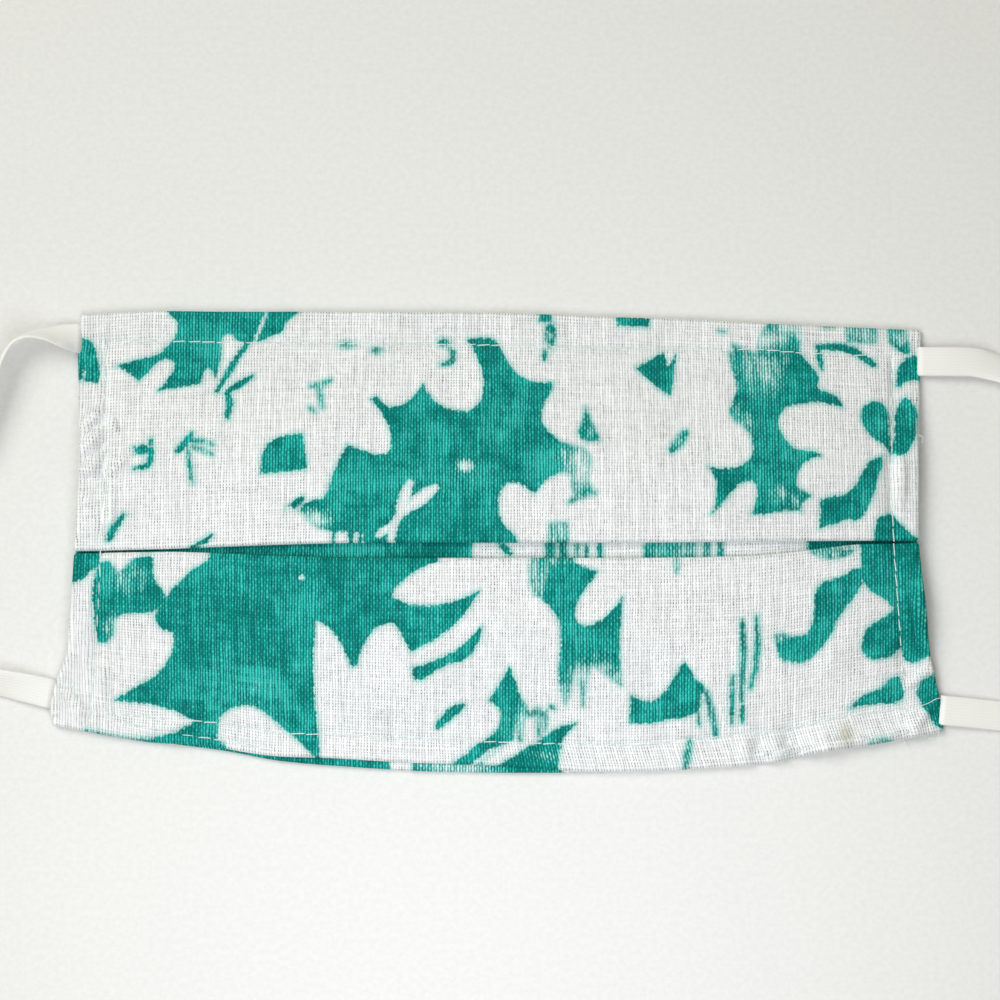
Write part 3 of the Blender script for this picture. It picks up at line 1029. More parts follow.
def ear_band(name, route, material):
    frames = band_frame(route)
    section = band_section()
    points, along = [], [0.0]
    for k, (centre, sideways, outward) in enumerate(frames):
        for across, height in section:
            point = centre + sideways * across + outward * height
            points.append((point.x, point.y, max(point.z, 0.0)))
        if k:
            along.append(along[-1] + (centre - frames[k - 1][0]).length)
    faces = []
    for k in range(len(frames) - 1):
        for n in range(BAND_SIDES):
            m = (n + 1) % BAND_SIDES
            low, high = k * BAND_SIDES, (k + 1) * BAND_SIDES
            faces.append((low + n, low + m, high + m, high + n))
    faces.append(tuple(range(BAND_SIDES))[::-1])
    faces.append(tuple(range((len(frames) - 1) * BAND_SIDES, len(frames) * BAND_SIDES)))
    band = mesh_object(name, points, faces, [material])
    across = np.tile([a for a, _ in section], len(frames))
    add_uv(band.data, across, np.repeat(along, BAND_SIDES))
    turn_outwards(band)
    return band, [tuple(centre * MM) for centre, _, _ in frames]


def turn_outwards(piece):
    """Makes every face of a closed piece point out of it."""
    shape = bmesh.new()
    shape.from_mesh(piece.data)
    bmesh.ops.recalc_face_normals(shape, faces=shape.faces)
    shape.to_mesh(piece.data)
    shape.free()


# ---- Nodes ----


def add_node(tree, kind, inputs=None, **options):
    """A node with its options set, and its inputs set or linked by name or number."""
    node = tree.nodes.new(kind)
    for key, value in options.items():
        setattr(node, key, value)
    for label, value in (inputs or {}).items():
        if isinstance(value, bpy.types.NodeSocket):
            tree.links.new(value, node.inputs[label])
        else:
            node.inputs[label].default_value = value
    return node


def calc(tree, operation, *values):
    return add_node(tree, "ShaderNodeMath", dict(enumerate(values)), operation=operation).outputs[0]


def blend_colour(tree, share, first, second, way="MIX"):
    inputs = {0: share, 6: first, 7: second}
    return add_node(tree, "ShaderNodeMix", inputs, data_type="RGBA", blend_type=way).outputs[2]


def remap(tree, value, low, high, to_low=0.0, to_high=1.0):
    inputs = dict(enumerate((value, low, high, to_low, to_high)))
    return add_node(tree, "ShaderNodeMapRange", inputs, interpolation_type="SMOOTHSTEP").outputs[0]


def stretch(tree, vector, scale, shift=(0, 0, 0)):
    inputs = {0: vector, 1: scale, 2: shift}
    return add_node(tree, "ShaderNodeVectorMath", inputs, operation="MULTIPLY_ADD").outputs[0]


def noise(tree, vector, scale=1.0, detail=2.0, rough=0.5):
    inputs = {"Vector": vector, "Scale": scale, "Detail": detail, "Roughness": rough}
    return add_node(tree, "ShaderNodeTexNoise", inputs).outputs[0]


# ---- Stitches, by Geometry Nodes ----


def curve_line(name, points):
    """A plain line of straight runs through points in millimetres."""
    data = bpy.data.curves.new(name, "CURVE")
    data.dimensions = "3D"
    spline = data.splines.new("POLY")
    spline.points.add(len(points) - 1)
    for target, point in zip(spline.points, points):
        target.co = (point[0] * MM, point[1] * MM, point[2] * MM, 1)
    made = bpy.data.objects.new(name, data)
    bpy.context.scene.collection.objects.link(made)
    return made


def new_tree(name, inputs):
    """A Geometry Nodes tree with named float inputs, and its ends."""
    tree = bpy.data.node_groups.new(name, "GeometryNodeTree")
    tree.interface.new_socket("Geometry", in_out="INPUT", socket_type="NodeSocketGeometry")
    for label, default in inputs:
        socket = tree.interface.new_socket(label, in_out="INPUT", socket_type="NodeSocketFloat")
        socket.default_value = default
    tree.interface.new_socket("Geometry", in_out="OUTPUT", socket_type="NodeSocketGeometry")
    return tree, tree.nodes.new("NodeGroupInput"), tree.nodes.new("NodeGroupOutput")


STITCH_SEED = 5
THREAD_SIDES = 6
STITCH_SINK = 0.25  # share of its thickness that a stitch lies below the cloth at its ends
STITCH_ARC = math.radians(24)  # how far each stitch bends over between its two holes


def stitch_tree(material):
    """Lays a slightly arched thread for every stitch along a curve."""
    inputs = (("Pitch", 0.003), ("Length", 0.0027), ("Thickness", 0.0003), ("Slant", 0.06), ("Sway", 0.05))
    tree, given, result = new_tree("stitch_row", inputs)
    value = given.outputs
    resample = add_node(tree, "GeometryNodeResampleCurve", mode="LENGTH")
    tree.links.new(value["Geometry"], resample.inputs["Curve"])
    tree.links.new(value["Pitch"], resample.inputs["Length"])
    arc = add_node(tree, "GeometryNodeCurveArc", {
        "Resolution": 7, "Radius": 1.0, "Start Angle": (math.pi - STITCH_ARC) / 2, "Sweep Angle": STITCH_ARC,
    }, mode="RADIUS")
    place = add_node(tree, "GeometryNodeTransform", {
        "Geometry": arc.outputs["Curve"], "Translation": (0, -math.cos(STITCH_ARC / 2), 0)})
    chord = 2 * math.sin(STITCH_ARC / 2)
    slim = calc(tree, "DIVIDE", value["Thickness"], value["Length"])
    thread = round_thread(tree, place.outputs["Geometry"], calc(tree, "MULTIPLY", slim, chord / 2))
    stand = add_node(tree, "GeometryNodeTransform", {"Geometry": thread, "Rotation": (math.pi / 2, 0, 0)})
    tangent = add_node(tree, "GeometryNodeInputTangent")
    align = add_node(tree, "FunctionNodeAlignRotationToVector", {"Vector": tangent.outputs["Tangent"]},
                     axis="X", pivot_axis="Z")
    sway = add_node(tree, "FunctionNodeRandomValue", {
        2: calc(tree, "SUBTRACT", value["Slant"], value["Sway"]),
        3: calc(tree, "ADD", value["Slant"], value["Sway"]), "Seed": STITCH_SEED,
    }, data_type="FLOAT")
    swing = add_node(tree, "ShaderNodeCombineXYZ", {"Z": sway.outputs[1]})
    euler = add_node(tree, "FunctionNodeEulerToRotation", {"Euler": swing.outputs["Vector"]})
    swung = add_node(tree, "FunctionNodeRotateRotation", {
        "Rotation": align.outputs["Rotation"], "Rotate By": euler.outputs["Rotation"],
    }, rotation_space="LOCAL")
    scale = calc(tree, "DIVIDE", value["Length"], chord)
    size = add_node(tree, "ShaderNodeCombineXYZ", {"X": scale, "Y": scale, "Z": scale})
    row = add_node(tree, "GeometryNodeInstanceOnPoints", {
        "Points": resample.outputs["Curve"], "Instance": stand.outputs["Geometry"],
        "Rotation": swung.outputs["Rotation"], "Scale": size.outputs["Vector"]})
    return close_tree(tree, row.outputs["Instances"], result, material)


def round_thread(tree, curve, radius):
    """A round thread with closed ends along a curve."""
    ring = add_node(tree, "GeometryNodeCurvePrimitiveCircle", {"Resolution": THREAD_SIDES, "Radius": radius})
    return add_node(tree, "GeometryNodeCurveToMesh", {
        "Curve": curve, "Profile Curve": ring.outputs["Curve"], "Fill Caps": True}).outputs["Mesh"]


def thread_tree(material):
    """A round thread along every curve."""
    tree, given, result = new_tree("thread_run", (("Thickness", 0.0003),))
    smooth = add_node(tree, "GeometryNodeCurveSplineType", {"Curve": given.outputs["Geometry"]},
                      spline_type="CATMULL_ROM")
    steps = add_node(tree, "GeometryNodeSetSplineResolution", {
        "Geometry": smooth.outputs["Curve"], "Resolution": 8})
    radius = calc(tree, "DIVIDE", given.outputs["Thickness"], 2)
    thread = round_thread(tree, steps.outputs["Geometry"], radius)
    return close_tree(tree, thread, result, material)


def close_tree(tree, made, result, material):
    """Ends a tree in realized instances that carry one material."""
    for kind in ("GeometryNodeRealizeInstances", "GeometryNodeSetShadeSmooth"):
        made = add_node(tree, kind, {"Geometry": made}).outputs["Geometry"]
    paint = add_node(tree, "GeometryNodeSetMaterial", {"Geometry": made, "Material": material})
    tree.links.new(paint.outputs["Geometry"], result.inputs["Geometry"])
    return tree


def socket_id(tree, label):
    return next(item.identifier for item in tree.interface.items_tree
                if item.name == label and item.in_out == "INPUT")


def grow(name, line, tree, values):
    """Runs a Geometry Nodes tree on a curve and keeps the result as a plain mesh object."""
    modifier = line.modifiers.new(tree.name, "NODES")
    modifier.node_group = tree
    for label, value in values.items():
        modifier[socket_id(tree, label)] = value
    bpy.context.view_layer.update()
    ready = line.evaluated_get(bpy.context.evaluated_depsgraph_get())
    mesh = bpy.data.meshes.new_from_object(ready)
    line.modifiers.remove(modifier)
    data = line.data
    bpy.data.objects.remove(line)
    bpy.data.curves.remove(data)
    mesh.name = name
    made = bpy.data.objects.new(name, mesh)
    bpy.context.scene.collection.objects.link(made)
    return made


def join_pieces(name, pieces):
    """Joins several mesh objects into one with the given name."""
    target = pieces[0]
    with bpy.context.temp_override(active_object=target, object=target, selected_objects=pieces,
                                   selected_editable_objects=pieces):
        bpy.ops.object.join()
    target.name = name
    target.data.name = name
    return target


def spaced_points(points, spacing):
    """Evenly spaced points along a line of straight runs on the cloth."""
    p = np.array(points, dtype=float)
    reach = np.concatenate([[0], np.cumsum(np.linalg.norm(np.diff(p, axis=0), axis=1))])
    table_x = [{"at": a, "v": v} for a, v in zip(reach, p[:, 0])]
    table_y = [{"at": a, "v": v} for a, v in zip(reach, p[:, 1])]
    at = np.linspace(0, reach[-1], max(int(reach[-1] / spacing), 2))
    return read_table(table_x, "v", at), read_table(table_y, "v", at)


# ---- Shader groups ----


def new_group(name, inputs, outputs):
    """A shader node group with the named sockets, and its two ends."""
    tree = bpy.data.node_groups.new(name, "ShaderNodeTree")
    kinds = {"vector": "NodeSocketVector", "value": "NodeSocketFloat", "colour": "NodeSocketColor"}
    for way, sockets in (("INPUT", inputs), ("OUTPUT", outputs)):
        for label, kind in sockets:
            tree.interface.new_socket(label, in_out=way, socket_type=kinds[kind])
    return tree, tree.nodes.new("NodeGroupInput"), tree.nodes.new("NodeGroupOutput")


def weave_group():
    """A plain weave in millimetres of cloth. It gives the height of the threads, the crest along each
    upright one, the holes between them, a tone that changes from thread to thread, and one random
    value and place for each cell."""
    tree, given, result = new_group(
        "plain_weave", (("Vector", "vector"), ("Pitch", "value")),
        (("Height", "value"), ("Crest", "value"), ("Hole", "value"), ("Tone", "value"),
         ("Chance", "value"), ("Cell", "vector")),
    )
    vector = given.outputs["Vector"]
    split = add_node(tree, "ShaderNodeSeparateXYZ", {0: vector})
    pitch = given.outputs["Pitch"]
    wander_x = calc(tree, "SUBTRACT", noise(tree, stretch(tree, vector, (0.9, 0.16, 1))), 0.5)
    wander_y = calc(tree, "SUBTRACT", noise(tree, stretch(tree, vector, (0.16, 0.9, 1), (7, 3, 0))), 0.5)
    u = calc(tree, "DIVIDE", calc(tree, "MULTIPLY_ADD", wander_x, 0.6, split.outputs[0]), pitch)
    v = calc(tree, "DIVIDE", calc(tree, "MULTIPLY_ADD", wander_y, 0.6, split.outputs[1]), pitch)
    sin_u = calc(tree, "SINE", calc(tree, "MULTIPLY", u, math.pi))
    sin_v = calc(tree, "SINE", calc(tree, "MULTIPLY", v, math.pi))
    cross = calc(tree, "MULTIPLY", sin_u, sin_v)
    over = calc(tree, "MULTIPLY", cross, 0.24)
    wide_u = calc(tree, "POWER", calc(tree, "ABSOLUTE", sin_u), 0.75)
    wide_v = calc(tree, "POWER", calc(tree, "ABSOLUTE", sin_v), 0.75)
    warp = calc(tree, "MULTIPLY_ADD", wide_u, 0.68, over)
    weft = calc(tree, "SUBTRACT", calc(tree, "MULTIPLY", wide_v, 0.45), over)
    height = calc(tree, "MAXIMUM", warp, weft)
    cell = add_node(tree, "ShaderNodeCombineXYZ", {0: calc(tree, "FLOOR", u), 1: calc(tree, "FLOOR", v)})
    chance = add_node(tree, "ShaderNodeTexWhiteNoise", {"Vector": cell.outputs[0]})
    thread = noise(tree, stretch(tree, cell.outputs[0], (0.83, 0.045, 1), (3, 8, 0)), 1.0, 1.0)
    across = noise(tree, stretch(tree, cell.outputs[0], (0.04, 0.83, 1), (1, 5, 0)), 1.0, 1.0)
    tone = calc(tree, "MULTIPLY_ADD", across, 0.35, calc(tree, "MULTIPLY", thread, 0.65))
    uneven = calc(tree, "MULTIPLY_ADD", tone, 0.9, 0.55)
    fluff = noise(tree, stretch(tree, vector, (4.4, 2.6, 1), (2, 2, 0)), 1.0, 3.0, 0.65)
    rough_height = calc(tree, "MULTIPLY_ADD", fluff, 0.3, calc(tree, "MULTIPLY", height, uneven))
    gap = calc(tree, "SUBTRACT", 1.0, remap(tree, height, 0.05, 0.62))
    rare = calc(tree, "POWER", chance.outputs["Value"], 2.5)
    hole = calc(tree, "MULTIPLY", gap, calc(tree, "MULTIPLY_ADD", rare, 0.95, 0.4))
    ridge = calc(tree, "POWER", calc(tree, "ABSOLUTE", sin_u), 1.8)
    crest = calc(tree, "MULTIPLY_ADD", cross, 0.2, calc(tree, "MULTIPLY", ridge, 0.8))
    crest = calc(tree, "MULTIPLY_ADD", calc(tree, "SUBTRACT", fluff, 0.5), 0.9, crest)
    crest = calc(tree, "MULTIPLY_ADD", calc(tree, "SUBTRACT", tone, 0.5), 1.1, crest)
    made = {"Crest": crest, "Height": rough_height, "Hole": hole, "Tone": tone,
            "Chance": chance.outputs["Value"], "Cell": cell.outputs[0]}
    for label, socket in made.items():
        tree.links.new(socket, result.inputs[label])
    return tree


def print_group():
    """Watery ink on woven cloth: the colour of the face from the printed attributes."""
    tree, given, result = new_group(
        "flower_print",
        (("Vector", "vector"), ("Cell", "vector"), ("Distance", "value"), ("Wash", "value"),
         ("Dry", "value"), ("Stain", "value"), ("Height", "value"), ("Crest", "value"),
         ("Hole", "value"), ("Tone", "value"), ("Chance", "value"), ("Cloth", "colour"),
         ("Ink", "colour"), ("Deep Ink", "colour"), ("Thin Ink", "colour"), ("Stain Colour", "colour")),
        (("Color", "colour"),),
    )
    vector, cell, height = given.outputs["Vector"], given.outputs["Cell"], given.outputs["Height"]
    crest = given.outputs["Crest"]
    chance = calc(tree, "SUBTRACT", given.outputs["Chance"], 0.5)
    grain = noise(tree, vector, 2.6, 2.0, 0.6)
    # the ink ends from thread to thread, not on a clean line, and more softly where it is watery
    thin = calc(tree, "MULTIPLY_ADD", given.outputs["Wash"], 0.3, given.outputs["Dry"])
    width = calc(tree, "MULTIPLY_ADD", thin, 0.8, 0.16)
    distance = calc(tree, "MULTIPLY_ADD", chance, 0.42, given.outputs["Distance"])
    distance = calc(tree, "MULTIPLY_ADD", calc(tree, "SUBTRACT", grain, 0.5), 0.5, distance)
    edge = calc(tree, "SUBTRACT", 1.0, remap(tree, distance, calc(tree, "MULTIPLY", width, -1.0), width))
    halo = calc(tree, "SUBTRACT", 1.0, remap(tree, distance, 0.0, 1.15))
    # watery ink pales unevenly, and first on the crests of the upright threads
    streak = noise(tree, stretch(tree, cell, (0.6, 0.14, 1), (4, 1, 0)), 1.0, 2.0, 0.6)
    patchy = noise(tree, stretch(tree, vector, (0.5, 0.3, 1), (9, 2, 0)), 1.0, 3.0, 0.6)
    uneven = calc(tree, "MULTIPLY_ADD", streak, 0.7, calc(tree, "MULTIPLY", patchy, 1.2))
    uneven = calc(tree, "MULTIPLY_ADD", crest, 0.5, calc(tree, "SUBTRACT", uneven, 1.2))
    level = calc(tree, "MULTIPLY_ADD", uneven, remap(tree, thin, 0.02, 0.3), thin)
    # pools of deeper ink, and pale crests that took less of it
    pool = noise(tree, vector, 0.11, 4.0, 0.62)
    ripple = noise(tree, vector, 0.6, 3.0, 0.6)
    depth = remap(tree, calc(tree, "MULTIPLY_ADD", ripple, 0.4, pool), 0.52, 0.88)
    low = remap(tree, height, 0.2, 0.75)
    ink = blend_colour(tree, calc(tree, "MULTIPLY", depth, low), given.outputs["Deep Ink"],
                       given.outputs["Ink"])
    lift = calc(tree, "MULTIPLY_ADD", given.outputs["Wash"], 0.6, calc(tree, "MULTIPLY", depth, 0.55))
    top = remap(tree, calc(tree, "ADD", crest, lift), 0.62, 1.5, 0.0, 0.95)
    ink = blend_colour(tree, top, ink, given.outputs["Thin Ink"])
    ink = blend_colour(tree, remap(tree, level, 0.12, 0.7, 0.0, 0.88), ink, given.outputs["Thin Ink"])
    ink = blend_colour(tree, remap(tree, level, 0.3, 1.05, 0.0, 0.82), ink, given.outputs["Cloth"])
    cloth = blend_colour(tree, calc(tree, "MULTIPLY", halo, 0.48), given.outputs["Cloth"],
                         given.outputs["Thin Ink"])
    cloth = blend_colour(tree, given.outputs["Stain"], cloth, given.outputs["Stain Colour"])
    colour = blend_colour(tree, edge, cloth, ink)
    tone = remap(tree, given.outputs["Tone"], 0.3, 0.7, 0.87, 1.05)
    relief = remap(tree, height, 0.15, 0.8, 0.8, 1.05)
    shade = calc(tree, "MULTIPLY", tone, relief)
    shade = calc(tree, "MULTIPLY", shade, remap(tree, given.outputs["Hole"], 0.0, 0.9, 1.0, 0.2))
    grey = add_node(tree, "ShaderNodeCombineColor", {0: shade, 1: shade, 2: shade})
    colour = blend_colour(tree, 1.0, colour, grey.outputs[0], "MULTIPLY")
    tree.links.new(colour, result.inputs["Color"])
    return tree


def use_group(tree, group, **values):
    inputs = {label.replace("_", " "): value for label, value in values.items()}
    return add_node(tree, "ShaderNodeGroup", inputs, node_tree=group)


def attribute(tree, name):
    return add_node(tree, "ShaderNodeAttribute", attribute_name=name).outputs["Fac"]


def cloth_uv(tree):
    return add_node(tree, "ShaderNodeUVMap", uv_map="cloth_mm").outputs["UV"]


def new_material(name, roughness, sheen=0.0):
    """A material whose even values sit on the shader itself."""
    material = bpy.data.materials.new(name)
    material.use_nodes = True
    shader = material.node_tree.nodes["Principled BSDF"]
    shader.inputs["Roughness"].default_value = roughness
    shader.inputs["Sheen Weight"].default_value = sheen
    shader.inputs["Specular IOR Level"].default_value = 0.12
    return material, material.node_tree, shader


def add_bump(tree, shader, height, distance, strength=1.0):
    inputs = {"Strength": strength, "Distance": distance, "Height": height}
    bump = add_node(tree, "ShaderNodeBump", inputs)
    tree.links.new(bump.outputs["Normal"], shader.inputs["Normal"])


def colour4(value):
    return (*value[:3], 1.0)


def face_material(settings, weave, flowers):
    """The printed side of the cotton."""
    material, tree, shader = new_material("printed_cotton_face", 0.9)
    uv = cloth_uv(tree)
    woven = use_group(tree, weave, Vector=uv, Pitch=settings.thread_pitch / MM)
    printed = use_group(
        tree, flowers, Vector=uv, Cell=woven.outputs["Cell"], Chance=woven.outputs["Chance"],
        Crest=woven.outputs["Crest"], Distance=attribute(tree, "ink_distance"), Wash=attribute(tree, "wash"),
        Dry=attribute(tree, "dry"), Stain=attribute(tree, "stain"), Height=woven.outputs["Height"],
        Hole=woven.outputs["Hole"], Tone=woven.outputs["Tone"], Cloth=colour4(settings.cloth_colour),
        Ink=colour4(settings.ink_colour), Deep_Ink=colour4(settings.deep_ink_colour),
        Thin_Ink=colour4(settings.thin_ink_colour), Stain_Colour=colour4(settings.stain_colour),
    )
    tree.links.new(printed.outputs["Color"], shader.inputs["Base Color"])
    add_bump(tree, shader, woven.outputs["Height"], settings.thread_relief)
    return material


def reverse_material(settings, weave):
    """The wrong side of the cotton, where the ink only just shows through."""
    material, tree, shader = new_material("printed_cotton_reverse", 0.92)
    uv = cloth_uv(tree)
    woven = use_group(tree, weave, Vector=uv, Pitch=settings.thread_pitch / MM)
    through = calc(tree, "SUBTRACT", 1.0, remap(tree, attribute(tree, "ink_distance"), -0.8, 0.8))
    share = calc(tree, "MULTIPLY", through, remap(tree, woven.outputs["Tone"], 0.3, 0.7, 0.3, 0.5))
    colour = blend_colour(tree, share, colour4(settings.cloth_colour), colour4(settings.thin_ink_colour))
    tree.links.new(colour, shader.inputs["Base Color"])
    add_bump(tree, shader, woven.outputs["Height"], settings.thread_relief)
    return material


def elastic_material(settings):
    """Braided elastic: lengthwise ribs, each a row of slanting yarns."""
    material, tree, shader = new_material("braided_elastic", 0.45, 0.1)
    shader.inputs["Specular IOR Level"].default_value = 0.4
    uv = cloth_uv(tree)
    split = add_node(tree, "ShaderNodeSeparateXYZ", {0: uv})
    ribs = calc(tree, "ABSOLUTE", calc(tree, "SINE", calc(
        tree, "MULTIPLY", split.outputs[0], math.pi * settings.rib_count / ELASTIC_WIDTH)))
    slant = calc(tree, "MULTIPLY_ADD", split.outputs[0], 1.4, split.outputs[1])
    yarn = calc(tree, "ABSOLUTE", calc(tree, "SINE", calc(tree, "MULTIPLY", slant, math.pi / 0.55)))
    fuzz = noise(tree, stretch(tree, uv, (6, 2.5, 1)), 1.0, 2.0)
    height = calc(tree, "MULTIPLY_ADD", yarn, 0.35, calc(tree, "MULTIPLY", ribs, 0.9))
    height = calc(tree, "MULTIPLY_ADD", fuzz, 0.3, height)
    shade = remap(tree, height, 0.2, 1.3)
    colour = blend_colour(tree, shade, colour4(settings.shade_colour), colour4(settings.colour))
    tree.links.new(colour, shader.inputs["Base Color"])
    add_bump(tree, shader, height, 0.00004)
    return material


def thread_material(settings):
    """Matt white sewing thread with a fine twist."""
    material, tree, shader = new_material("white_sewing_thread", 0.7, 0.1)
    coordinates = tree.nodes.new("ShaderNodeTexCoord")
    twist = noise(tree, stretch(tree, coordinates.outputs["Object"], (3000, 3000, 3000)), 1.0, 2.0)
    shade = remap(tree, twist, 0.35, 0.65)
    colour = blend_colour(tree, shade, colour4(settings.shade_colour), colour4(settings.colour))
    tree.links.new(colour, shader.inputs["Base Color"])
    add_bump(tree, shader, twist, 0.00006)
    return material


def floor_material(settings):
    """A pale matt table top with a hardly visible grain."""
    material, tree, shader = new_material("pale_table", 0.6)
    coordinates = tree.nodes.new("ShaderNodeTexCoord")
    grain = noise(tree, coordinates.outputs["Object"], 900.0, 3.0, 0.6)
    share = remap(tree, grain, 0.3, 0.7)
    colour = blend_colour(tree, share, colour4(settings.floor_shade), colour4(settings.floor_colour))
    tree.links.new(colour, shader.inputs["Base Color"])
    add_bump(tree, shader, grain, 0.00005, 0.5)
    return material


# ---- Settings ----


def length_property(label, text, default):
    return bpy.props.FloatProperty(name=label, description=text, default=default, unit="LENGTH",
                                   min=0.0, precision=5)


def colour_property(label, text, default):
    return bpy.props.FloatVectorProperty(name=label, description=text, default=default, size=3,
                                         subtype="COLOR", min=0.0, max=1.0)


class MaskClothSettings(bpy.types.PropertyGroup):
    """Sizes and colours of the cotton."""

    wall: length_property("Cloth thickness", "Thickness of one layer of cloth", 0.0008)
    thread_pitch: length_property("Thread pitch", "Distance from one thread to the next", 0.00058)
    thread_relief: length_property("Thread relief", "How far the threads stand out", 0.00016)
    cloth_colour: colour_property("Cloth", "Colour of the bare cotton", (0.905, 0.93, 0.935))
    ink_colour: colour_property("Ink", "Colour of the printed ground", (0.002, 0.325, 0.285))
    deep_ink_colour: colour_property("Deep ink", "Colour where the ink pools", (0.0005, 0.2, 0.175))
    thin_ink_colour: colour_property("Thin ink", "Colour of watered ink", (0.055, 0.61, 0.54))
    stain_colour: colour_property("Stain", "Colour of a handling mark", (0.40, 0.37, 0.215))


class MaskElasticSettings(bpy.types.PropertyGroup):
    """Colours and ribs of the elastic."""

    rib_count: bpy.props.IntProperty(name="Ribs", description="Ribs across the band", default=10, min=1)
    colour: colour_property("Elastic", "Colour of the elastic", (0.93, 0.925, 0.885))
    shade_colour: colour_property("Elastic grooves", "Colour between the ribs", (0.895, 0.888, 0.845))


class MaskThreadSettings(bpy.types.PropertyGroup):
    """Sizes and colours of the sewing thread."""

    pitch: length_property("Stitch pitch", "Distance from one stitch to the next", 0.00295)
    length: length_property("Stitch length", "Length of thread that shows", 0.0026)
    thickness: length_property("Thread thickness", "Thickness of the sewing thread", 0.00027)
    colour: colour_property("Thread", "Colour of the thread", (0.84, 0.93, 0.915))
    shade_colour: colour_property("Thread grooves", "Colour between the plies", (0.6, 0.71, 0.69))


class MaskStageSettings(bpy.types.PropertyGroup):
    """The floor, the light and the camera."""

    floor_colour: colour_property("Floor", "Colour of the floor", (0.86, 0.86, 0.84))
    floor_shade: colour_property("Floor grain", "Colour of the floor's grain", (0.82, 0.82, 0.80))
    view_width: length_property("View width", "Width that the camera takes in", 0.2035)
    view_rise: length_property("View rise", "How far up the mask the camera aims", 0.0082)
    distance: length_property("Camera distance", "From the camera to the mask", 0.6)
    elevation: bpy.props.FloatProperty(name="Elevation", description="Angle above the floor",
                                       default=math.radians(85), subtype="ANGLE")
    key_power: bpy.props.FloatProperty(name="Key light", description="Power of the main light",
                                       default=8.0, unit="POWER")
    fill_power: bpy.props.FloatProperty(name="Fill light", description="Power of the light overhead",
                                        default=0.3, unit="POWER")
    sky_strength: bpy.props.FloatProperty(name="Sky", description="Strength of the even light",
                                          default=0.33)


SETTINGS = {
    "mask_cloth": MaskClothSettings,
    "mask_elastic": MaskElasticSettings,
    "mask_thread": MaskThreadSettings,
    "mask_stage": MaskStageSettings,
}

# ---- Operators ----

SENSOR_WIDTH = 36.0
FLOOR_HALF = 1.5
VIEW_SHIFT = 0.0007  # how far to the right of the cloth's middle the camera aims
THREAD_SETTLE = 0.6  # how far loose threads sink below their stated height


class MASK_OT_stage(bpy.types.Operator):
    """Makes the floor, the soft light and the camera"""

    bl_idname = "mask.stage"
    bl_label = "Stage"

    def execute(self, context):
        settings = context.scene.mask_stage
        lowest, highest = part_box("pleated_cloth")[0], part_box("pleated_cloth")[1]
        middle = [(low + high) / 2 for low, high in zip(lowest, highest)]
        aim = Vector((middle[0] + VIEW_SHIFT, middle[1] + settings.view_rise, 0))
        self.add_camera(context, settings, aim)
        self.add_floor(settings)
        self.add_light(
            "key_light", place=(-0.69, 0.51, 0.87), size=0.75,
            power=settings.key_power, colour=(0.99, 1.0, 0.965),
        )
        self.add_light(
            "fill_light", place=(-0.01, -0.11, 0.21), size=0.2,
            power=settings.fill_power, colour=(0.89, 0.92, 1.0),
        )
        world = bpy.data.worlds.new("even_light")
        world.use_nodes = True
        sky = world.node_tree.nodes["Background"]
        sky.inputs["Color"].default_value = (1.0, 0.97, 0.86, 1)
        sky.inputs["Strength"].default_value = settings.sky_strength
        context.scene.world = world
        context.scene.view_settings.view_transform = "Standard"
        return {"FINISHED"}

    def add_camera(self, context, settings, aim):
        data = bpy.data.cameras.new("camera")
        data.sensor_width = SENSOR_WIDTH
        data.lens = SENSOR_WIDTH * settings.distance / settings.view_width
        data.clip_start = 0.01
        camera = bpy.data.objects.new("camera", data)
        away = Vector((0, -math.cos(settings.elevation), math.sin(settings.elevation)))
        camera.location = aim + away * settings.distance
        camera.rotation_euler = (-away).to_track_quat("-Z", "Y").to_euler()
        context.scene.collection.objects.link(camera)
        context.scene.camera = camera

    def add_floor(self, settings):
        half = FLOOR_HALF / MM
        corners = [(-half, -half, 0), (half, -half, 0), (half, half, 0), (-half, half, 0)]
        mesh_object("floor", corners, [(0, 1, 2, 3)], [floor_material(settings)])

    def add_light(self, name, place, size, power, colour):
        data = bpy.data.lights.new(name, "AREA")
        data.shape = "DISK"
        data.size = size
        data.energy = power
        data.color = colour
        light = bpy.data.objects.new(name, data)
        light.location = place
        light.visible_camera = False
        light.rotation_euler = (-Vector(place)).to_track_quat("-Z", "Y").to_euler()
        bpy.context.scene.collection.objects.link(light)


class MASK_OT_ear_loops(bpy.types.Operator):
    """Makes the two flat elastic ear loops"""

    bl_idname = "mask.ear_loops"
    bl_label = "Ear Loops"

    def execute(self, context):
        material = elastic_material(context.scene.mask_elastic)
        for side, loop in LOOPS.items():
            band, path = ear_band(f"elastic_band_{side}", loop["route"], material)
            finish_piece(band, "flat_elastic", loop["node"])
        return {"FINISHED"}


class MASK_OT_cloth(bpy.types.Operator):
    """Makes the pleated sheet of printed cotton and its four hems"""

    bl_idname = "mask.cloth"
    bl_label = "Pleated Cloth"

    def execute(self, context):
        settings = context.scene.mask_cloth
        wall = settings.wall / MM
        weave = weave_group()
        face = face_material(settings, weave, print_group())
        reverse = reverse_material(settings, weave)
        for side, node in (("top", "top_hem"), ("bottom", "bottom_hem"), ("left", "side_hem_left"),
                           ("right", "side_hem_right")):
            grid = hem_sheet(side, wall)
            hem = cloth_object(f"hem_{side}", grid, hem_facts(grid), wall, 1, [face])
            turn_outwards(hem)
            finish_piece(hem, "printed_cotton", node)
        grid, facts = pleated_sheet(wall)
        cloth = cloth_object("printed_cloth", grid, facts, wall, UNDERSIDE_SKIP, [face, reverse])
        finish_piece(cloth, "printed_cotton", "pleated_cloth")
        return {"FINISHED"}


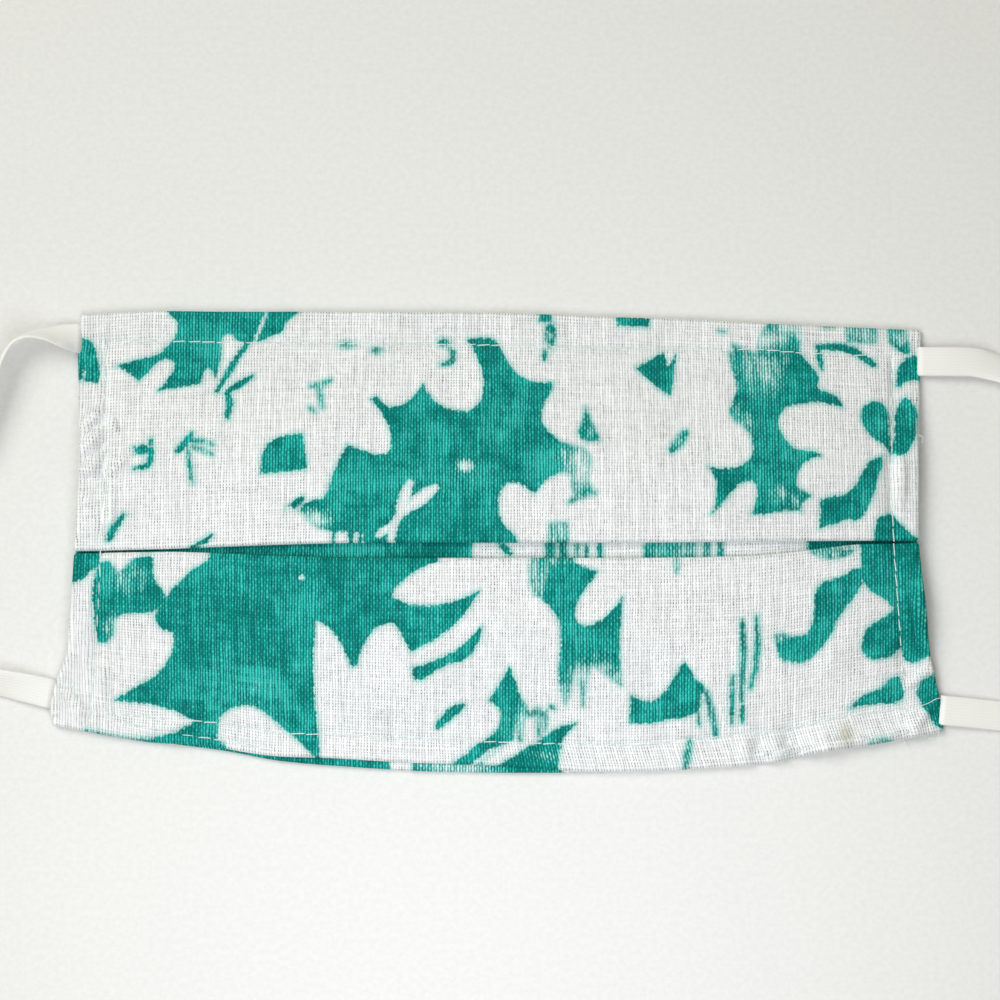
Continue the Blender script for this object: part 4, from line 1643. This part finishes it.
class MASK_OT_stitching(bpy.types.Operator):
    """Makes the rows of top-stitching and the bar tacks"""

    bl_idname = "mask.stitching"
    bl_label = "Stitching"

    def execute(self, context):
        settings = context.scene.mask_thread
        wall = context.scene.mask_cloth.wall / MM
        material = thread_material(settings)
        tree = stitch_tree(material)
        rows = []
        for name, points in SEAMS.items():
            x, y = spaced_points(points, 1.0)
            height = face_height(x, y, wall) - settings.thickness / MM * STITCH_SINK
            line = curve_line(f"seam_{name}", list(zip(x, y, height)))
            rows.append(grow(f"stitches_{name}", line, tree, {
                "Pitch": settings.pitch, "Length": settings.length, "Thickness": settings.thickness,
                "Slant": 0.06, "Sway": 0.05,
            }))
        for number, ends in enumerate(BAR_TACKS):
            x, y = spaced_points(ends, 0.4)
            height = face_height(x, y, wall)
            line = curve_line(f"tack_{number}", list(zip(x, y, height)))
            rows.append(grow(f"tack_{number}", line, tree, {
                "Pitch": settings.pitch * 0.5, "Length": settings.length * 0.7,
                "Thickness": settings.thickness, "Slant": 0.0, "Sway": 0.25,
            }))
        stitches = join_pieces("top_stitching", rows)
        finish_piece(stitches, "sewing_thread")
        return {"FINISHED"}


class MASK_OT_loose_threads(bpy.types.Operator):
    """Makes the few thread ends that have worked loose at the edges"""

    bl_idname = "mask.loose_threads"
    bl_label = "Loose Threads"

    def execute(self, context):
        settings = context.scene.mask_thread
        wall = context.scene.mask_cloth.wall / MM
        tree = thread_tree(bpy.data.materials["white_sewing_thread"])
        threads = []
        for number, points in enumerate(LOOSE_THREADS):
            p = np.array(points, dtype=float)
            height = face_height(p[:, 0], p[:, 1], wall) + p[:, 2] - THREAD_SETTLE
            line = curve_line(f"thread_{number}", list(zip(p[:, 0], p[:, 1], np.maximum(height, 0.2))))
            threads.append(grow(f"thread_{number}", line, tree, {"Thickness": settings.thickness * 0.6}))
        finish_piece(join_pieces("loose_threads", threads), "sewing_thread")
        return {"FINISHED"}


class MASK_PT_pieces(bpy.types.Panel):
    """Lists the steps that make the mask"""

    bl_idname = "MASK_PT_pieces"
    bl_label = "Face Mask"
    bl_space_type = "VIEW_3D"
    bl_region_type = "UI"
    bl_category = "Face Mask"

    def draw(self, context):
        for operator in OPERATORS:
            self.layout.operator(operator.bl_idname)
        for name, group in SETTINGS.items():
            column = self.layout.column(align=True)
            for key in group.__annotations__:
                column.prop(getattr(context.scene, name), key)


OPERATORS = (MASK_OT_stage, MASK_OT_ear_loops, MASK_OT_cloth, MASK_OT_stitching, MASK_OT_loose_threads)
CLASSES = (*SETTINGS.values(), *OPERATORS, MASK_PT_pieces)


def register():
    for made in CLASSES:
        bpy.utils.register_class(made)
    for name, group in SETTINGS.items():
        setattr(bpy.types.Scene, name, bpy.props.PointerProperty(type=group))


def unregister():
    for name in SETTINGS:
        delattr(bpy.types.Scene, name)
    for made in reversed(CLASSES):
        bpy.utils.unregister_class(made)


def main():
    register()
    bpy.ops.mask.stage()
    bpy.ops.mask.ear_loops()
    bpy.ops.mask.cloth()
    bpy.ops.mask.stitching()
    bpy.ops.mask.loose_threads()


if __name__ == "__main__":
    main()
